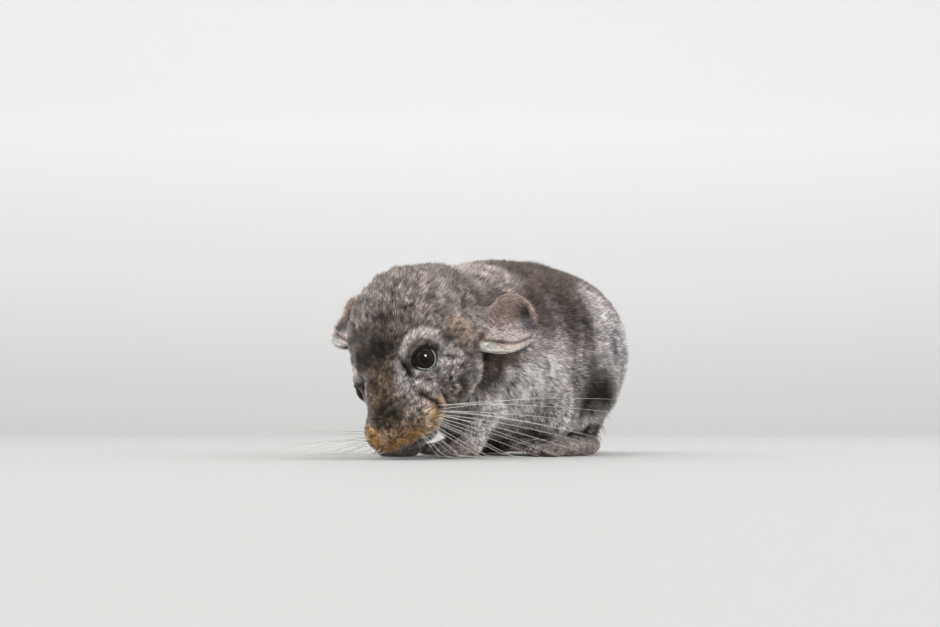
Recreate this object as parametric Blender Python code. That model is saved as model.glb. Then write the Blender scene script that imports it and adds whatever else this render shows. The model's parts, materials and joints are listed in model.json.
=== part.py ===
"""A life-size grey chinchilla, standing with its head lowered and turned a little to its left.

Metres, +Z up. The animal faces -Y, its left side is towards +X, and its soles stand on Z = 0.
The tables below are in millimetres. Each row names one form of the body: its centre, then its half
sizes along X, Y and Z. A form whose name ends in _side is repeated on the other side.
"""

import math
import random

import bmesh
import bpy
from mathutils import Matrix, Vector
from mathutils.bvhtree import BVHTree

MM = 0.001
GAP = 0.3 * MM  # left between two parts that meet
SEED = 11

# Trunk and upper legs, with the body's middle over the origin
TRUNK = {
    "ribs": ((0, -4, 52), (44, 60, 45)),
    "loin": ((0, 14, 54), (46, 50, 44)),
    "rump": ((0, 32, 52), (46, 44, 44)),
    "shoulders": ((0, -26, 52), (38, 36, 38)),
    "breast": ((0, -32, 40), (32, 30, 28)),
    "belly": ((0, 4, 34), (38, 54, 24)),
    "nape": ((0, -52, 66), (29, 24, 25)),
    "throat": ((0, -52, 46), (26, 18, 24)),
    "haunch_side": ((28, 22, 37), (20, 29, 25)),
    "knee_side": ((33, 0, 23), (12, 15, 14)),
    "hock_side": ((27, 26, 15), (11, 13, 12)),
    "elbow_side": ((20, -36, 24), (9, 11, 12)),
    "wrist_side": ((19, -44, 12), (6.5, 7, 11)),
}
NECK_CUT = -47  # the neck is what lies in front of this plane
THIGH_AREA = ((38, 18, 24), (25, 40, 34))
FORELEG_AREA = ((22, -42, 14), (12, 15, 17))

HIND_FOOT = {
    "heel": ((28, 32, 6), (7, 9, 6)),
    "sole": ((31, 17, 4.5), (7, 20, 5)),
    "ball": ((34, 2, 4), (8.5, 11, 4.5)),
    "toe_1": ((30.5, -12, 3), (2.6, 9, 3)),
    "toe_2": ((35.5, -14, 3), (2.8, 10, 3.2)),
    "toe_3": ((40.5, -10, 3), (2.6, 9, 3)),
}
FOREPAW = {
    "palm": ((18.5, -50, 4.5), (6.5, 9, 5)),
    "finger_1": ((13.5, -59, 2.8), (2.1, 6, 2.8)),
    "finger_2": ((17, -61.5, 2.8), (2.1, 6.5, 2.8)),
    "finger_3": ((20.7, -61.5, 2.8), (2.1, 6.5, 2.8)),
    "finger_4": ((24, -58.5, 2.8), (2.1, 6, 2.8)),
}

# Head, drawn level and facing -Y with its middle at the origin, then turned into place
HEAD_PLACE = Vector((6.4, -75.6, 53)) * MM
NOSE_AIM = Vector((0.304, -0.492, -0.816))
CROWN_AIM = Vector((-0.179, -0.87, 0.459))
HEAD = {
    "cranium": ((0, 7, 5.5), (28.5, 25, 24)),
    "forehead": ((0, -9, 4), (22, 20, 19.5)),
    "bridge": ((0, -26, 1.5), (16, 20, 13.5)),
    "muzzle": ((0, -36.5, -1), (15.5, 15, 12.5)),
    "nose": ((0, -46.8, -3), (12.4, 8.4, 8)),
    "cheek_side": ((17.5, -6, -9), (14, 18, 15)),
    "jaw": ((0, -20, -12), (18, 24, 10)),
    "jowl_side": ((17, -15, -15), (14, 17, 12)),
    "chin": ((0, -39, -14), (9, 8, 6)),
    "lip_side": ((5, -43, -14), (6, 6, 4)),
    "brow_side": ((13.2, -17.5, 7), (8.5, 11, 7)),
    "temple_side": ((13, -4, 3), (14, 18, 15)),
    "socket_side": ((14.8, -20.3, 2.3), (6.5, 10, 9)),
    "cheekbone_side": ((14.8, -21, -5), (8.5, 10, 7)),
}
EYE_PLACE = Vector((17.3, -20.8, 3.8)) * MM
EYE_AIM = Vector((0.86, -0.38, 0.34))
EYE_RADIUS = 6.3 * MM
LID_WIDTH = 6.3 * MM
LID_HEIGHT = 5.3 * MM
LID_RADIUS = 1.5 * MM
PAD_PLACE = Vector((11.6, -40.8, -4)) * MM
PAD_SIZE = Vector((9.4, 12, 9.8)) * MM
MOUTH_LINE = ((15, -33, -14), (12, -41, -15), (7, -47, -14), (0, -52, -11))
PHILTRUM = ((0, -56, -6), (0, -55, -9), (0, -52, -12))

# Whiskers. Each leaves its pad at an angle to the line of sight from the animal's left front: 0 is
# level to that side, 90 is straight up. depth is its share away from that side.
SIGHT = math.radians(40)
WHISKER_RADII = (0.5, 0.2)
WHISKERS = {
    "left": ((11, 82, 0.1), (5, 96, -0.1), (0, 104, -0.3), (-4, 98, -0.05), (-8, 100, -0.4),
             (-12, 84, 0.1), (-15, 72, -0.5), (-19, 60, -0.2), (-25, 48, 0.2), (-33, 40, -0.4)),
    "right": ((176, 66, 0.3), (182, 74, -0.1), (186, 78, 0.2), (190, 74, -0.4), (195, 70, 0.1),
              (201, 64, -0.5), (208, 56, -0.1), (216, 48, -0.6), (227, 42, -0.3), (242, 36, -0.7)),
}

# Ears: root, the way each points, and the way its cup opens, drawn with the level head
EARS = {
    "left": ((24.2, -1.5, -7.5), (0.68, 0.23, -0.66), (0.76, -0.41, 0.50)),
    "right": ((-21.5, 17, 3.5), (-0.84, 0.54, -0.03), (-0.05, 0, 1)),
}
EAR_LENGTH = 36 * MM
EAR_WIDTH = 29.5 * MM
EAR_DEPTH = 8 * MM
EAR_THICKNESS = 1.4 * MM

# Tail, laid on the floor behind the right hind foot
TAIL_LINE = ((-3, 66, 36), (-11, 85, 23), (-27, 96, 11.5), (-47, 98, 7.5), (-66, 90, 6.5), (-81, 76, 6))
TAIL_SPLIT = 0.5  # share of its length at which the tail is parted in two
CORE_RADII = (7, 7, 7, 7, 6.5, 4.5)
HAIR_REACH = (13, 14, 14.5, 15, 14.5, 11)
LOCK_ROWS = 7
LOCKS_A_ROW = 6
LOCK_LENGTH = 33 * MM
LOCK_WIDTH = 5.0 * MM

FACES = {"body": 1850, "head": 1100, "foot": 280, "paw": 270, "tail": 240}


def mirrored(point):
    return Vector((-point.x, point.y, point.z))


def both_sides(table):
    """The rows of a table, with each _side row also on the right."""
    for name, (centre, half) in table.items():
        yield Vector(centre) * MM, Vector(half) * MM
        if name.endswith("_side"):
            yield mirrored(Vector(centre)) * MM, Vector(half) * MM


def one_side(table, side):
    """The rows of a table of one foot, on the left for side 1 and on the right for side -1."""
    for centre, half in table.values():
        yield Vector((side * centre[0], centre[1], centre[2])) * MM, Vector(half) * MM


def material(name, colour, roughness):
    made = bpy.data.materials.get(name) or bpy.data.materials.new(name)
    made.use_nodes = True
    shader = made.node_tree.nodes["Principled BSDF"]
    shader.inputs["Base Color"].default_value = (*colour, 1.0)
    shader.inputs["Roughness"].default_value = roughness
    return made


FUR = ("grey_fur", (0.17, 0.15, 0.14), 0.9)
TAIL_FUR = ("tail_fur", (0.09, 0.08, 0.07), 0.9)
EAR_SKIN = ("ear_skin", (0.40, 0.30, 0.28), 0.7)
EYE_GLOSS = ("eye_gloss", (0.012, 0.008, 0.006), 0.05)
PAW_SKIN = ("paw_skin", (0.42, 0.33, 0.30), 0.8)


def object_from(name, bm):
    mesh = bpy.data.meshes.new(name)
    bm.to_mesh(mesh)
    bm.free()
    made = bpy.data.objects.new(name, mesh)
    bpy.context.scene.collection.objects.link(made)
    return made


def apply_modifiers(obj):
    graph = bpy.context.evaluated_depsgraph_get()
    mesh = bpy.data.meshes.new_from_object(obj.evaluated_get(graph))
    obj.modifiers.clear()
    obj.data = mesh
    return obj


def remove(*objects):
    for obj in objects:
        bpy.data.objects.remove(obj)


def clay(name, forms, grain, rounds, faces, detail=3):
    """One smooth closed body from overlapping ellipsoids, thinned to about so many triangles."""
    bm = bmesh.new()
    for centre, half in forms:
        place = Matrix.LocRotScale(centre, None, half)
        bmesh.ops.create_icosphere(bm, subdivisions=detail, radius=1, matrix=place)
    obj = object_from(name, bm)
    fused = obj.modifiers.new("fused", "REMESH")
    fused.mode = "VOXEL"
    fused.voxel_size = grain
    eased = obj.modifiers.new("eased", "SMOOTH")
    eased.iterations = rounds
    apply_modifiers(obj)
    thinned = obj.modifiers.new("thinned", "DECIMATE")
    thinned.ratio = faces / (2 * len(obj.data.polygons))
    return apply_modifiers(obj)


def keep_largest(obj):
    """Leaves only the closed surface with the largest volume."""
    bm = bmesh.new()
    bm.from_mesh(obj.data)
    left = set(bm.verts)
    shells = []
    while left:
        stack = [left.pop()]
        shell = set(stack)
        while stack:
            for edge in stack.pop().link_edges:
                for vert in edge.verts:
                    if vert in left:
                        left.discard(vert)
                        shell.add(vert)
                        stack.append(vert)
        shells.append(shell)

    def volume(shell):
        faces = {face for vert in shell for face in vert.link_faces}
        return sum(face.calc_area() * face.normal.dot(face.calc_center_median()) for face in faces)

    best = max(shells, key=volume)
    spare = [vert for shell in shells if shell is not best for vert in shell]
    bmesh.ops.delete(bm, geom=spare, context="VERTS")
    bm.to_mesh(obj.data)
    bm.free()
    return obj


def combine(obj, others, operation, solver="EXACT"):
    """One Boolean of the object with a collection of closed meshes, which are then removed."""
    group = bpy.data.collections.new("pieces")
    for other in others:
        group.objects.link(other)
    join = obj.modifiers.new("join", "BOOLEAN")
    join.operation = operation
    join.solver = solver
    join.operand_type = "COLLECTION"
    join.collection = group
    apply_modifiers(obj)
    bpy.data.collections.remove(group)
    remove(*others)
    return keep_largest(obj)


def copy_of(obj, name="copy"):
    copy = obj.copy()
    copy.name = name
    copy.data = obj.data.copy()
    bpy.context.scene.collection.objects.link(copy)
    return copy


def swollen(obj, by=GAP):
    """A copy of a part, larger by a gap all round, to cut its neighbour with."""
    copy = copy_of(obj)
    push = copy.modifiers.new("push", "DISPLACE")
    push.strength = by
    push.mid_level = 0
    return apply_modifiers(copy)


def cut_clear(obj, *neighbours):
    """Cuts a part back so that it meets each neighbour face to face."""
    for neighbour in neighbours:
        combine(obj, [swollen(neighbour)], "DIFFERENCE")
    return obj


def split_off(body, area, name):
    """Makes what a closed area holds of a body a part of its own, a gap away from the rest."""
    piece = combine(copy_of(body, name), [copy_of(area)], "INTERSECT")
    combine(body, [swollen(area)], "DIFFERENCE")
    remove(area)
    return piece


def block(name, low, high):
    low, high = Vector(low) * MM, Vector(high) * MM
    bm = bmesh.new()
    bmesh.ops.create_cube(bm, size=1, matrix=Matrix.LocRotScale((low + high) / 2, None, high - low))
    return object_from(name, bm)


def ball(name, centre, half, aim=None, detail=3):
    """An ellipsoid, with its third half size along the aim."""
    turn = aim.to_track_quat("Z", "Y") if aim else None
    bm = bmesh.new()
    place = Matrix.LocRotScale(centre, turn, half)
    bmesh.ops.create_icosphere(bm, subdivisions=detail, radius=1, matrix=place)
    return object_from(name, bm)


def beyond(point, aim):
    """A large block that holds all that lies past a point, along an aim."""
    size = 200 * MM
    bm = bmesh.new()
    turn = aim.to_track_quat("Z", "Y")
    place = Matrix.LocRotScale(point + aim.normalized() * size / 2, turn, Vector((1, 1, 1)) * size)
    bmesh.ops.create_cube(bm, size=1, matrix=place)
    return object_from("area", bm)


def area_ball(name, row, side):
    centre, half = row
    return ball(name, Vector((side * centre[0], centre[1], centre[2])) * MM, Vector(half) * MM)


def finish(obj, look):
    obj.data.materials.clear()
    obj.data.materials.append(material(*look))
    obj.data.shade_smooth()
    return obj


def head_matrix():
    """From the level head, which faces -Y, to its lowered and turned place."""
    forward = NOSE_AIM.normalized()
    left = CROWN_AIM.cross(forward).normalized()
    up = left.cross(-forward)
    turn = Matrix((left, -forward, up)).transposed()
    return Matrix.Translation(HEAD_PLACE) @ turn.to_4x4()


def curve_through(points, steps):
    """A smooth curve through the named points, as a list of points."""
    ends = [2 * points[0] - points[1], *points, 2 * points[-1] - points[-2]]
    found = []
    for i in range(1, len(ends) - 2):
        before, start, end, after = ends[i - 1 : i + 3]
        for k in range(steps):
            t = k / steps
            bend = 2 * before - 5 * start + 4 * end - after
            lift = 3 * start - before - 3 * end + after
            found.append(0.5 * (2 * start + (end - before) * t + bend * t * t + lift * t**3))
    return [*found, points[-1]]


def tapered(name, path, widths, sides, flat=1.0, across=Vector((0, 0, 1))):
    """A closed tapered bar along a path. flat is its thickness as a share of its width."""
    bm = bmesh.new()
    rings = []
    for i, (centre, width) in enumerate(zip(path, widths)):
        along = (path[min(i + 1, len(path) - 1)] - path[max(i - 1, 0)]).normalized()
        wide = across.cross(along)
        if wide.length < 1e-3:
            wide = Vector((1, 0, 0)).cross(along)
        wide.normalize()
        deep = along.cross(wide)
        ring = []
        for k in range(sides):
            angle = 2 * math.pi * k / sides
            out = wide * math.cos(angle) + deep * (math.sin(angle) * flat)
            ring.append(bm.verts.new(centre + out * width))
        rings.append(ring)
    for low, high in zip(rings, rings[1:]):
        for k in range(sides):
            n = (k + 1) % sides
            bm.faces.new((low[k], low[n], high[n], high[k]))
    bm.faces.new(rings[0][::-1])
    bm.faces.new(rings[-1])
    bmesh.ops.recalc_face_normals(bm, faces=bm.faces)
    bmesh.ops.triangulate(bm, faces=bm.faces)
    return object_from(name, bm)


def side_of(point, side):
    return Vector((side * point.x, point.y, point.z))


def lid_ring(side):
    """A rounded almond ring round the eye, drawn with the level head."""
    aim = side_of(EYE_AIM, side).normalized()
    centre = side_of(EYE_PLACE, side) + aim * 2.9 * MM
    forward = (Vector((0, -1, 0)) + aim * aim.y).normalized()
    up = forward.cross(aim) * -side
    bm = bmesh.new()
    count, sides = 24, 7
    rings = []
    for k in range(count):
        angle = 2 * math.pi * k / count
        out = forward * (math.cos(angle) * LID_WIDTH) + up * (math.sin(angle) * LID_HEIGHT)
        ring = []
        for i in range(sides):
            turn = 2 * math.pi * i / sides
            spread = out.normalized() * math.cos(turn) + aim * math.sin(turn)
            ring.append(bm.verts.new(centre + out + spread * LID_RADIUS))
        rings.append(ring)
    for k in range(count):
        low, high = rings[k], rings[(k + 1) % count]
        for i in range(sides):
            n = (i + 1) % sides
            bm.faces.new((low[i], low[n], high[n], high[i]))
    bmesh.ops.recalc_face_normals(bm, faces=bm.faces)
    return object_from("lid", bm)


def ear_rim(angle):
    """How far the ear's edge lies from its middle: a rounded square with a dip in its front edge."""
    square = (abs(math.sin(angle)) ** 2.5 + abs(math.cos(angle)) ** 2.5) ** (-1 / 2.5)
    dip = 0.32 * math.exp(-(((angle - 4.84) / 0.3) ** 2))
    lobe = 0.06 * math.exp(-(((angle - 5.4) / 0.22) ** 2))
    return square * (0.97 - dip + lobe)


def make_ear(name, root, aim, opening):
    """A cup on a narrower root, of even thickness, with its far front corner rolled forward."""
    aim, opening = Vector(aim).normalized(), Vector(opening)
    opening = (opening - aim * aim.dot(opening)).normalized()
    across = aim.cross(opening) * math.copysign(1, root[0])
    middle = Vector(root) * MM + aim * (EAR_LENGTH * 0.46)
    bm = bmesh.new()
    count, steps = 28, 4

    def surface(angle, r, lift):
        along = -math.cos(angle)
        reach = r * ear_rim(angle)
        narrow = 0.66 + 0.34 * min(1, max(0, (along * r + 1.0) / 1.1))
        x = math.sin(angle) * reach * EAR_WIDTH / 2 * narrow
        y = along * reach * EAR_LENGTH * 0.54
        cup = -EAR_DEPTH * (1 - r * r)
        roll = 3.5 * MM * math.exp(-(((angle - 3.9) / 0.6) ** 2)) * r**4
        flare = 1.0 * MM * math.sin(3 * angle) * r**3
        root = max(0, -along * r - 0.35) * 8 * MM
        return middle + aim * y + across * x + opening * (cup + roll + flare - root + lift)

    skins = []
    for lift in (0, -EAR_THICKNESS):
        rings = [[bm.verts.new(surface(0, 0, lift))]]
        for i in range(1, steps + 1):
            turns = (2 * math.pi * k / count for k in range(count))
            rings.append([bm.verts.new(surface(turn, i / steps, lift)) for turn in turns])
        skins.append(rings)
    for rings in skins:
        for k in range(count):
            n = (k + 1) % count
            bm.faces.new((rings[0][0], rings[1][k], rings[1][n]))
            for low, high in zip(rings[1:], rings[2:]):
                bm.faces.new((low[k], high[k], high[n]))
                bm.faces.new((low[k], high[n], low[n]))
    for k in range(count):
        n = (k + 1) % count
        front, back = skins[0][-1], skins[1][-1]
        bm.faces.new((front[k], back[k], back[n]))
        bm.faces.new((front[k], back[n], front[n]))
    bmesh.ops.recalc_face_normals(bm, faces=bm.faces)
    ear = object_from(name, bm)
    ear.data.transform(head_matrix())
    return ear


def groove(obj, points, radius):
    """A bar laid along the surface of a body, to cut a fold into it."""
    bm = bmesh.new()
    bm.from_mesh(obj.data)
    tree = BVHTree.FromBMesh(bm)
    bm.free()
    line = curve_through([Vector(point) * MM for point in points], 4)
    line = [tree.find_nearest(point)[0] for point in line]
    last = len(line) - 1
    widths = [radius * MM * (0.45 + 0.55 * math.sin(math.pi * i / last)) for i in range(last + 1)]
    return tapered("groove", line, widths, 5)


def make_head():
    """The head without ears and whisker pads: lids, nostrils, lips and the line of the mouth."""
    head = clay("head", both_sides(HEAD), 1.2 * MM, 7, FACES["head"])
    combine(head, [lid_ring(1), lid_ring(-1)], "UNION")
    mouth = [*MOUTH_LINE, *((-x, y, z) for x, y, z in MOUTH_LINE[-2::-1])]
    cutters = [groove(head, mouth, 0.9), groove(head, PHILTRUM, 0.7)]
    for side in (1, -1):
        slit = Vector((side * 3.4, -54.8, -3)) * MM
        aim = Vector((side * 0.5, -1.0, 0.1))
        cutters.append(ball("nostril", slit, Vector((2.3, 0.9, 2.6)) * MM, aim, detail=2))
    for cutter in cutters:
        combine(head, [cutter], "DIFFERENCE")
    return head


def add_whiskers(pad, word, rest):
    """Long tapered whiskers, fused to their pad, that stay above the floor."""
    side = Vector((math.cos(SIGHT), math.sin(SIGHT), 0))
    away = Vector((-math.sin(SIGHT), math.cos(SIGHT), 0))
    middle = sum((vert.co for vert in pad.data.vertices), Vector()) / len(pad.data.vertices)
    trees = []
    for obj in rest:
        bm = bmesh.new()
        bm.from_mesh(obj.data)
        trees.append(BVHTree.FromBMesh(bm))
        bm.free()
    bars = []
    for i, (angle, length, depth) in enumerate(WHISKERS[word]):
        level, lift = math.cos(math.radians(angle)), math.sin(math.radians(angle))
        aim = (side * level + Vector((0, 0, lift)) + away * depth).normalized()
        spot = Vector((0, 0, 1)).cross(aim) * random.uniform(-3, 3) * MM
        spot += Vector((0, 0, 1)) * (4.0 - 0.9 * i) * MM
        path, widths = [], []
        steps = 7
        for k in range(steps + 1):
            t = k / steps
            point = middle + spot + aim * (2.5 * MM + length * MM * t)
            point.z -= length * MM * 0.10 * t * t * (1 - lift)
            if point.z < 5 * MM:
                point.z = 1.5 * MM + 3.5 * MM * math.exp((point.z - 5 * MM) / (3.5 * MM))
            path.append(point)
            widths.append((WHISKER_RADII[0] + (WHISKER_RADII[1] - WHISKER_RADII[0]) * t) * MM)
        bar = tapered("whisker", path, widths, 3)
        bm = bmesh.new()
        bm.from_mesh(bar.data)
        here = BVHTree.FromBMesh(bm)
        bm.free()
        if any(here.overlap(tree) for tree in trees):
            remove(bar)
        else:
            bars.append(bar)
    return combine(pad, bars, "UNION")


def along_tail(t, values):
    """A value read off evenly spaced ones along the tail, with t from 0 to 1."""
    place = t * (len(values) - 1)
    low = min(int(place), len(values) - 2)
    return values[low] + (values[low + 1] - values[low]) * (place - low)


def make_tail():
    """The tail: a slim core with long flat locks that lie back along it and overlap."""
    points = [Vector(point) * MM for point in TAIL_LINE]
    line = curve_through(points, 8)
    last = len(line) - 1
    forms = []
    for i, centre in enumerate(line):
        forms.append((centre, Vector((1, 1, 1)) * along_tail(i / last, CORE_RADII) * MM))
    tail = clay("tail", forms, 1.3 * MM, 6, FACES["tail"])
    locks = []
    for row in range(LOCK_ROWS):
        t = 0.07 + 0.89 * row / (LOCK_ROWS - 1)
        i = min(int(t * last), last - 1)
        centre, along = line[i], (line[i + 1] - line[i]).normalized()
        level = Vector((0, 0, 1)).cross(along).normalized()
        rise = along.cross(level)
        for k in range(LOCKS_A_ROW):
            turn = math.pi * (-0.12 + 1.24 * (k + 0.5 * (row % 2)) / (LOCKS_A_ROW - 0.5))
            turn += random.uniform(-0.08, 0.08)
            out = level * math.cos(turn) + rise * math.sin(turn)
            length = LOCK_LENGTH * random.uniform(0.85, 1.12)
            reach = along_tail(t, HAIR_REACH) * MM * random.uniform(0.9, 1.08)
            start = along_tail(t, CORE_RADII) * MM * 0.45
            path, widths = [], []
            steps = 4
            for s in range(steps + 1):
                u = s / steps
                at = min(last, i + int(round(u * length / (line[i + 1] - line[i]).length)))
                bend = line[at] - centre if at < last else along * length * u
                spread = start + (reach - start) * (1 - (1 - u) ** 2)
                point = centre + along * length * u * 0.5 + bend * 0.5 + out * spread
                point.z = max(point.z, 1.4 * MM)
                path.append(point)
                widths.append(LOCK_WIDTH * (0.62 + 0.9 * u - 1.42 * u * u))
            locks.append(tapered("lock", path, widths, 4, flat=0.3, across=out))
    return combine(tail, locks, "UNION")


def tail_end_area():
    """A block round the outer part of the tail, square to it where the two parts meet."""
    line = curve_through([Vector(point) * MM for point in TAIL_LINE], 8)
    i = int((len(line) - 1) * TAIL_SPLIT)
    return beyond(line[i], line[i + 1] - line[i])


def centre_on_floor():
    """Moves everything so that the middle of the whole, seen from above, is over the origin."""
    points = [vert.co for obj in bpy.data.objects for vert in obj.data.vertices]
    middle = [(min(p[i] for p in points) + max(p[i] for p in points)) / 2 for i in (0, 1)]
    for obj in bpy.data.objects:
        obj.data.transform(Matrix.Translation((-middle[0], -middle[1], 0)))


def main():
    for obj in list(bpy.data.objects):
        bpy.data.objects.remove(obj)
    random.seed(SEED)
    to_world = head_matrix()
    body = clay("torso", both_sides(TRUNK), 1.9 * MM, 12, FACES["body"])
    head = make_head()
    parts = []
    eyes, pads, ears = [], [], []
    for side, word in ((1, "left"), (-1, "right")):
        eye = ball(f"eye_{word}", side_of(EYE_PLACE, side), Vector((1, 1, 1)) * EYE_RADIUS)
        eye.data.transform(to_world)
        eyes.append(eye)
        pad = ball(f"whisker_pad_{word}", side_of(PAD_PLACE, side), PAD_SIZE)
        pad.data.transform(to_world)
        pads.append(pad)
        ears.append(make_ear(f"ear_{word}", *EARS[word]))
    head.data.transform(to_world)
    cut_clear(head, *pads, *eyes)
    for ear in ears:
        cut_clear(ear, head)
    feet, legs = [], []
    for side, word in ((1, "left"), (-1, "right")):
        thigh = split_off(body, area_ball("area", THIGH_AREA, side), f"thigh_{word}")
        foreleg = split_off(body, area_ball("area", FORELEG_AREA, side), f"foreleg_{word}")
        foot = clay(f"hind_foot_{word}", one_side(HIND_FOOT, side), 0.9 * MM, 3, FACES["foot"])
        paw = clay(f"forepaw_{word}", one_side(FOREPAW, side), 0.8 * MM, 3, FACES["paw"])
        feet += [foot, paw]
        legs += [thigh, foreleg]
        cut_clear(thigh, foot)
        cut_clear(foreleg, paw)
        cut_clear(body, foot, paw)
    neck = split_off(body, block("area", (-70, -140, 22), (70, NECK_CUT, 130)), "neck")
    cut_clear(neck, head, *ears)
    cut_clear(body, head, *ears)
    for pad, word in zip(pads, ("left", "right")):
        add_whiskers(pad, word, [head, neck, body, *ears, *feet, *legs])
    tail = make_tail()
    cut_clear(tail, body, *legs, *feet)
    tail_end = split_off(tail, tail_end_area(), "tail_end")
    ground = block("ground", (-300, -300, -60), (300, 300, 0))
    for obj in (body, tail, tail_end, neck, *feet, *legs):
        combine(obj, [copy_of(ground)], "DIFFERENCE")
    remove(ground)
    for obj in (body, neck, head, *legs):
        finish(obj, FUR)
    for obj in ears:
        finish(obj, EAR_SKIN)
    for obj in eyes:
        finish(obj, EYE_GLOSS)
    for obj in pads:
        finish(obj, FUR)
    for obj in feet:
        finish(obj, PAW_SKIN)
    finish(tail, TAIL_FUR)
    finish(tail_end, TAIL_FUR)
    centre_on_floor()


main()
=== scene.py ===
"""The plush coat, face, ears, feet and tail of a life-size grey chinchilla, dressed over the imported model.

Places on the head are in millimetres in the level head's own axes: X to the animal's left, Y backwards
and Z up, with the middle of the head at the origin. Places on the body are in millimetres in the axes
of the whole animal, which faces -Y, with the middle of its trunk over the origin and its soles at Z = 0.
"""

import json
import math

import bmesh
import bpy
import numpy as np
from bpy.props import FloatProperty, FloatVectorProperty, IntProperty, PointerProperty
from mathutils import Matrix, Vector

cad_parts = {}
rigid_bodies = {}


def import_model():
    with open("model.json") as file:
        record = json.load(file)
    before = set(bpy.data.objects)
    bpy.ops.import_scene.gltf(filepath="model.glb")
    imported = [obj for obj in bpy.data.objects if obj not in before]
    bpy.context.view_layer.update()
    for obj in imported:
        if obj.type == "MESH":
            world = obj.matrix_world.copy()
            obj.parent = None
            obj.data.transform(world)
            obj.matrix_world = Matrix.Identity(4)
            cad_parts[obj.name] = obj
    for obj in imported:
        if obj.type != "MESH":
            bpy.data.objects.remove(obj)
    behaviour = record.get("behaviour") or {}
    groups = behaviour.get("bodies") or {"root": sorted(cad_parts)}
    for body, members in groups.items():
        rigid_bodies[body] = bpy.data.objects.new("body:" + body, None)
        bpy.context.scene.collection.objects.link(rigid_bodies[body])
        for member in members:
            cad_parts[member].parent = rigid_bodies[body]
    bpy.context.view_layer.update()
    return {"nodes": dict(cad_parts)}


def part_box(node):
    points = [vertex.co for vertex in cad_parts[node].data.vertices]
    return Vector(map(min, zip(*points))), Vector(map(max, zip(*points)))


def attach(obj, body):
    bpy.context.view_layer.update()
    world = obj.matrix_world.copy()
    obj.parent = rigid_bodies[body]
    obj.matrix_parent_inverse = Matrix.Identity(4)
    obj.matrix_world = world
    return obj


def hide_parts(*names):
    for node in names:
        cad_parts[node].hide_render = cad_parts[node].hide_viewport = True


bl_info = {
    "name": "Chinchilla",
    "version": (1, 0, 0),
    "blender": (4, 5, 0),
    "location": "3D View > Sidebar > Chinchilla",
    "description": "Builds the coat, skin and features of a grey chinchilla over its solids",
    "category": "Object",
}

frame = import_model()

MM = 0.001
SEED = 21
FLOOR_GAP = 0.2 * MM  # the skin and coat stay this far above the floor

# The head: its turn, its eyes and its whisker pads
NOSE_AIM = Vector((0.304, -0.492, -0.816))
CROWN_AIM = Vector((-0.179, -0.87, 0.459))
HEAD_PLACE = Vector((6.4, -75.6, 53)) * MM
EYE_PLACE = Vector((17.3, -20.8, 3.8))
EYE_AIM = Vector((0.86, -0.38, 0.34))
EYE_RADIUS = 6.3
EYE_SEAT = Vector((16.8, -22.2, 4.5))  # the dressed eye, a little lower and further out
EYE_OPENING = (5.1, 4.2)
EYE_TILT = math.radians(39)  # how far the inner corner is turned up from the line to the nose
PAD_PLACE = Vector((11.6, -40.8, -4))
PAD_SIZE = Vector((9.4, 12, 9.8))
FACE_COAT = ((-58, 0.5), (-46, 0.8), (-30, 1.1), (-12, 1.6), (6, 2.3), (24, 3.0))  # place, depth
HEAD_MIDDLE = (0, -10, 0)
HEAD_HALF = (33, 48, 32)
MOUTH_LINE = ((15, -33, -14), (12, -41, -15), (7, -47, -14), (0, -52, -11))
EYE_TAIL = ((21.5, -17, 1.5), (25, -12, 1.5), (26.5, -8, 1))
EYE_CORNER = ((14.5, -24.5, 9.6), (12.8, -27.2, 9.6))
CREASE = ((12.8, -27.2, 9.6), (12.9, -30.4, 7.6), (16.2, -40.1, 3.4), (19.5, -41.8, -0.8),
          (19.1, -43.1, -7.3))
STRIPE = ((9.7, -29.1, 10.7), (10.8, -35, 7.9), (12.8, -40.5, 4.8))
BROW = ((14.5, -22.5, 13), (16.8, -17.5, 12.6), (20.2, -14.1, 10.5), (23.4, -13.6, 5.8),
        (24.6, -15.6, 1.6))
GOLD_RIM = ((0, -55, -2), (8, -52.5, -4.5), (13, -50.5, -5.5), (18, -46.5, -5.5), (19.5, -42, -7))
SAND_STREAK = ((-20, 6, 18), (-27, 2, 6), (-26, -12, 2))  # only beside the right ear
GOLD_PATCH = ((-12, -49, 0), (6, 5, 6))  # only on the right of the muzzle
CROWN_HOLLOW = ((-10, 6, 28), (22, 18, 14))
NOSE_PLACE = Vector((0, -52.2, -6.4))

# Relief of the skin, in millimetres
PLUSH_WAVE = 0.8
BROW_RISE = 0.8
LID_RISE = 0.7
CREASE_DEPTH = 2.2
MOUTH_DEPTH = 1.0
TOE_GROOVE = 1.3
HOLLOW_DEPTH = 2.2

# Ears: root, the way each points, and the way its cup opens
EARS = {
    "left": ((24.2, -1.5, -7.5), (0.68, 0.23, -0.66), (0.76, -0.41, 0.50)),
    "right": ((-21.5, 17, 3.5), (-0.84, 0.54, -0.03), (-0.05, 0, 1)),
}
EAR_LENGTH = 36
EAR_WIDTH = 28.5
EAR_DEPTH = 8

# Tail and toes, on the body's axes
TAIL_LINE = ((-3, 66, 36), (-11, 85, 23), (-27, 96, 11.5), (-47, 98, 7.5), (-66, 90, 6.5), (-81, 76, 6))
TAIL_RADII = (7, 7, 7, 7, 6.5, 4.5)
TAIL_REACH = (13, 14, 14.5, 15, 14.5, 11)
HIND_TOES = ((30.5, -20.4, 3), (35.5, -23.4, 3.2), (40.5, -18.4, 3))
FORE_TOES = ((13.5, -64.2, 2.8), (17, -67.2, 2.8), (20.7, -67.2, 2.8), (24, -63.7, 2.8))

FLESH = ("torso", "neck", "head", "thigh_left", "thigh_right", "foreleg_left", "foreleg_right",
         "hind_foot_left", "hind_foot_right", "forepaw_left", "forepaw_right")
SKIN_STANDS_FOR = (*FLESH, "tail", "tail_end")


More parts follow.
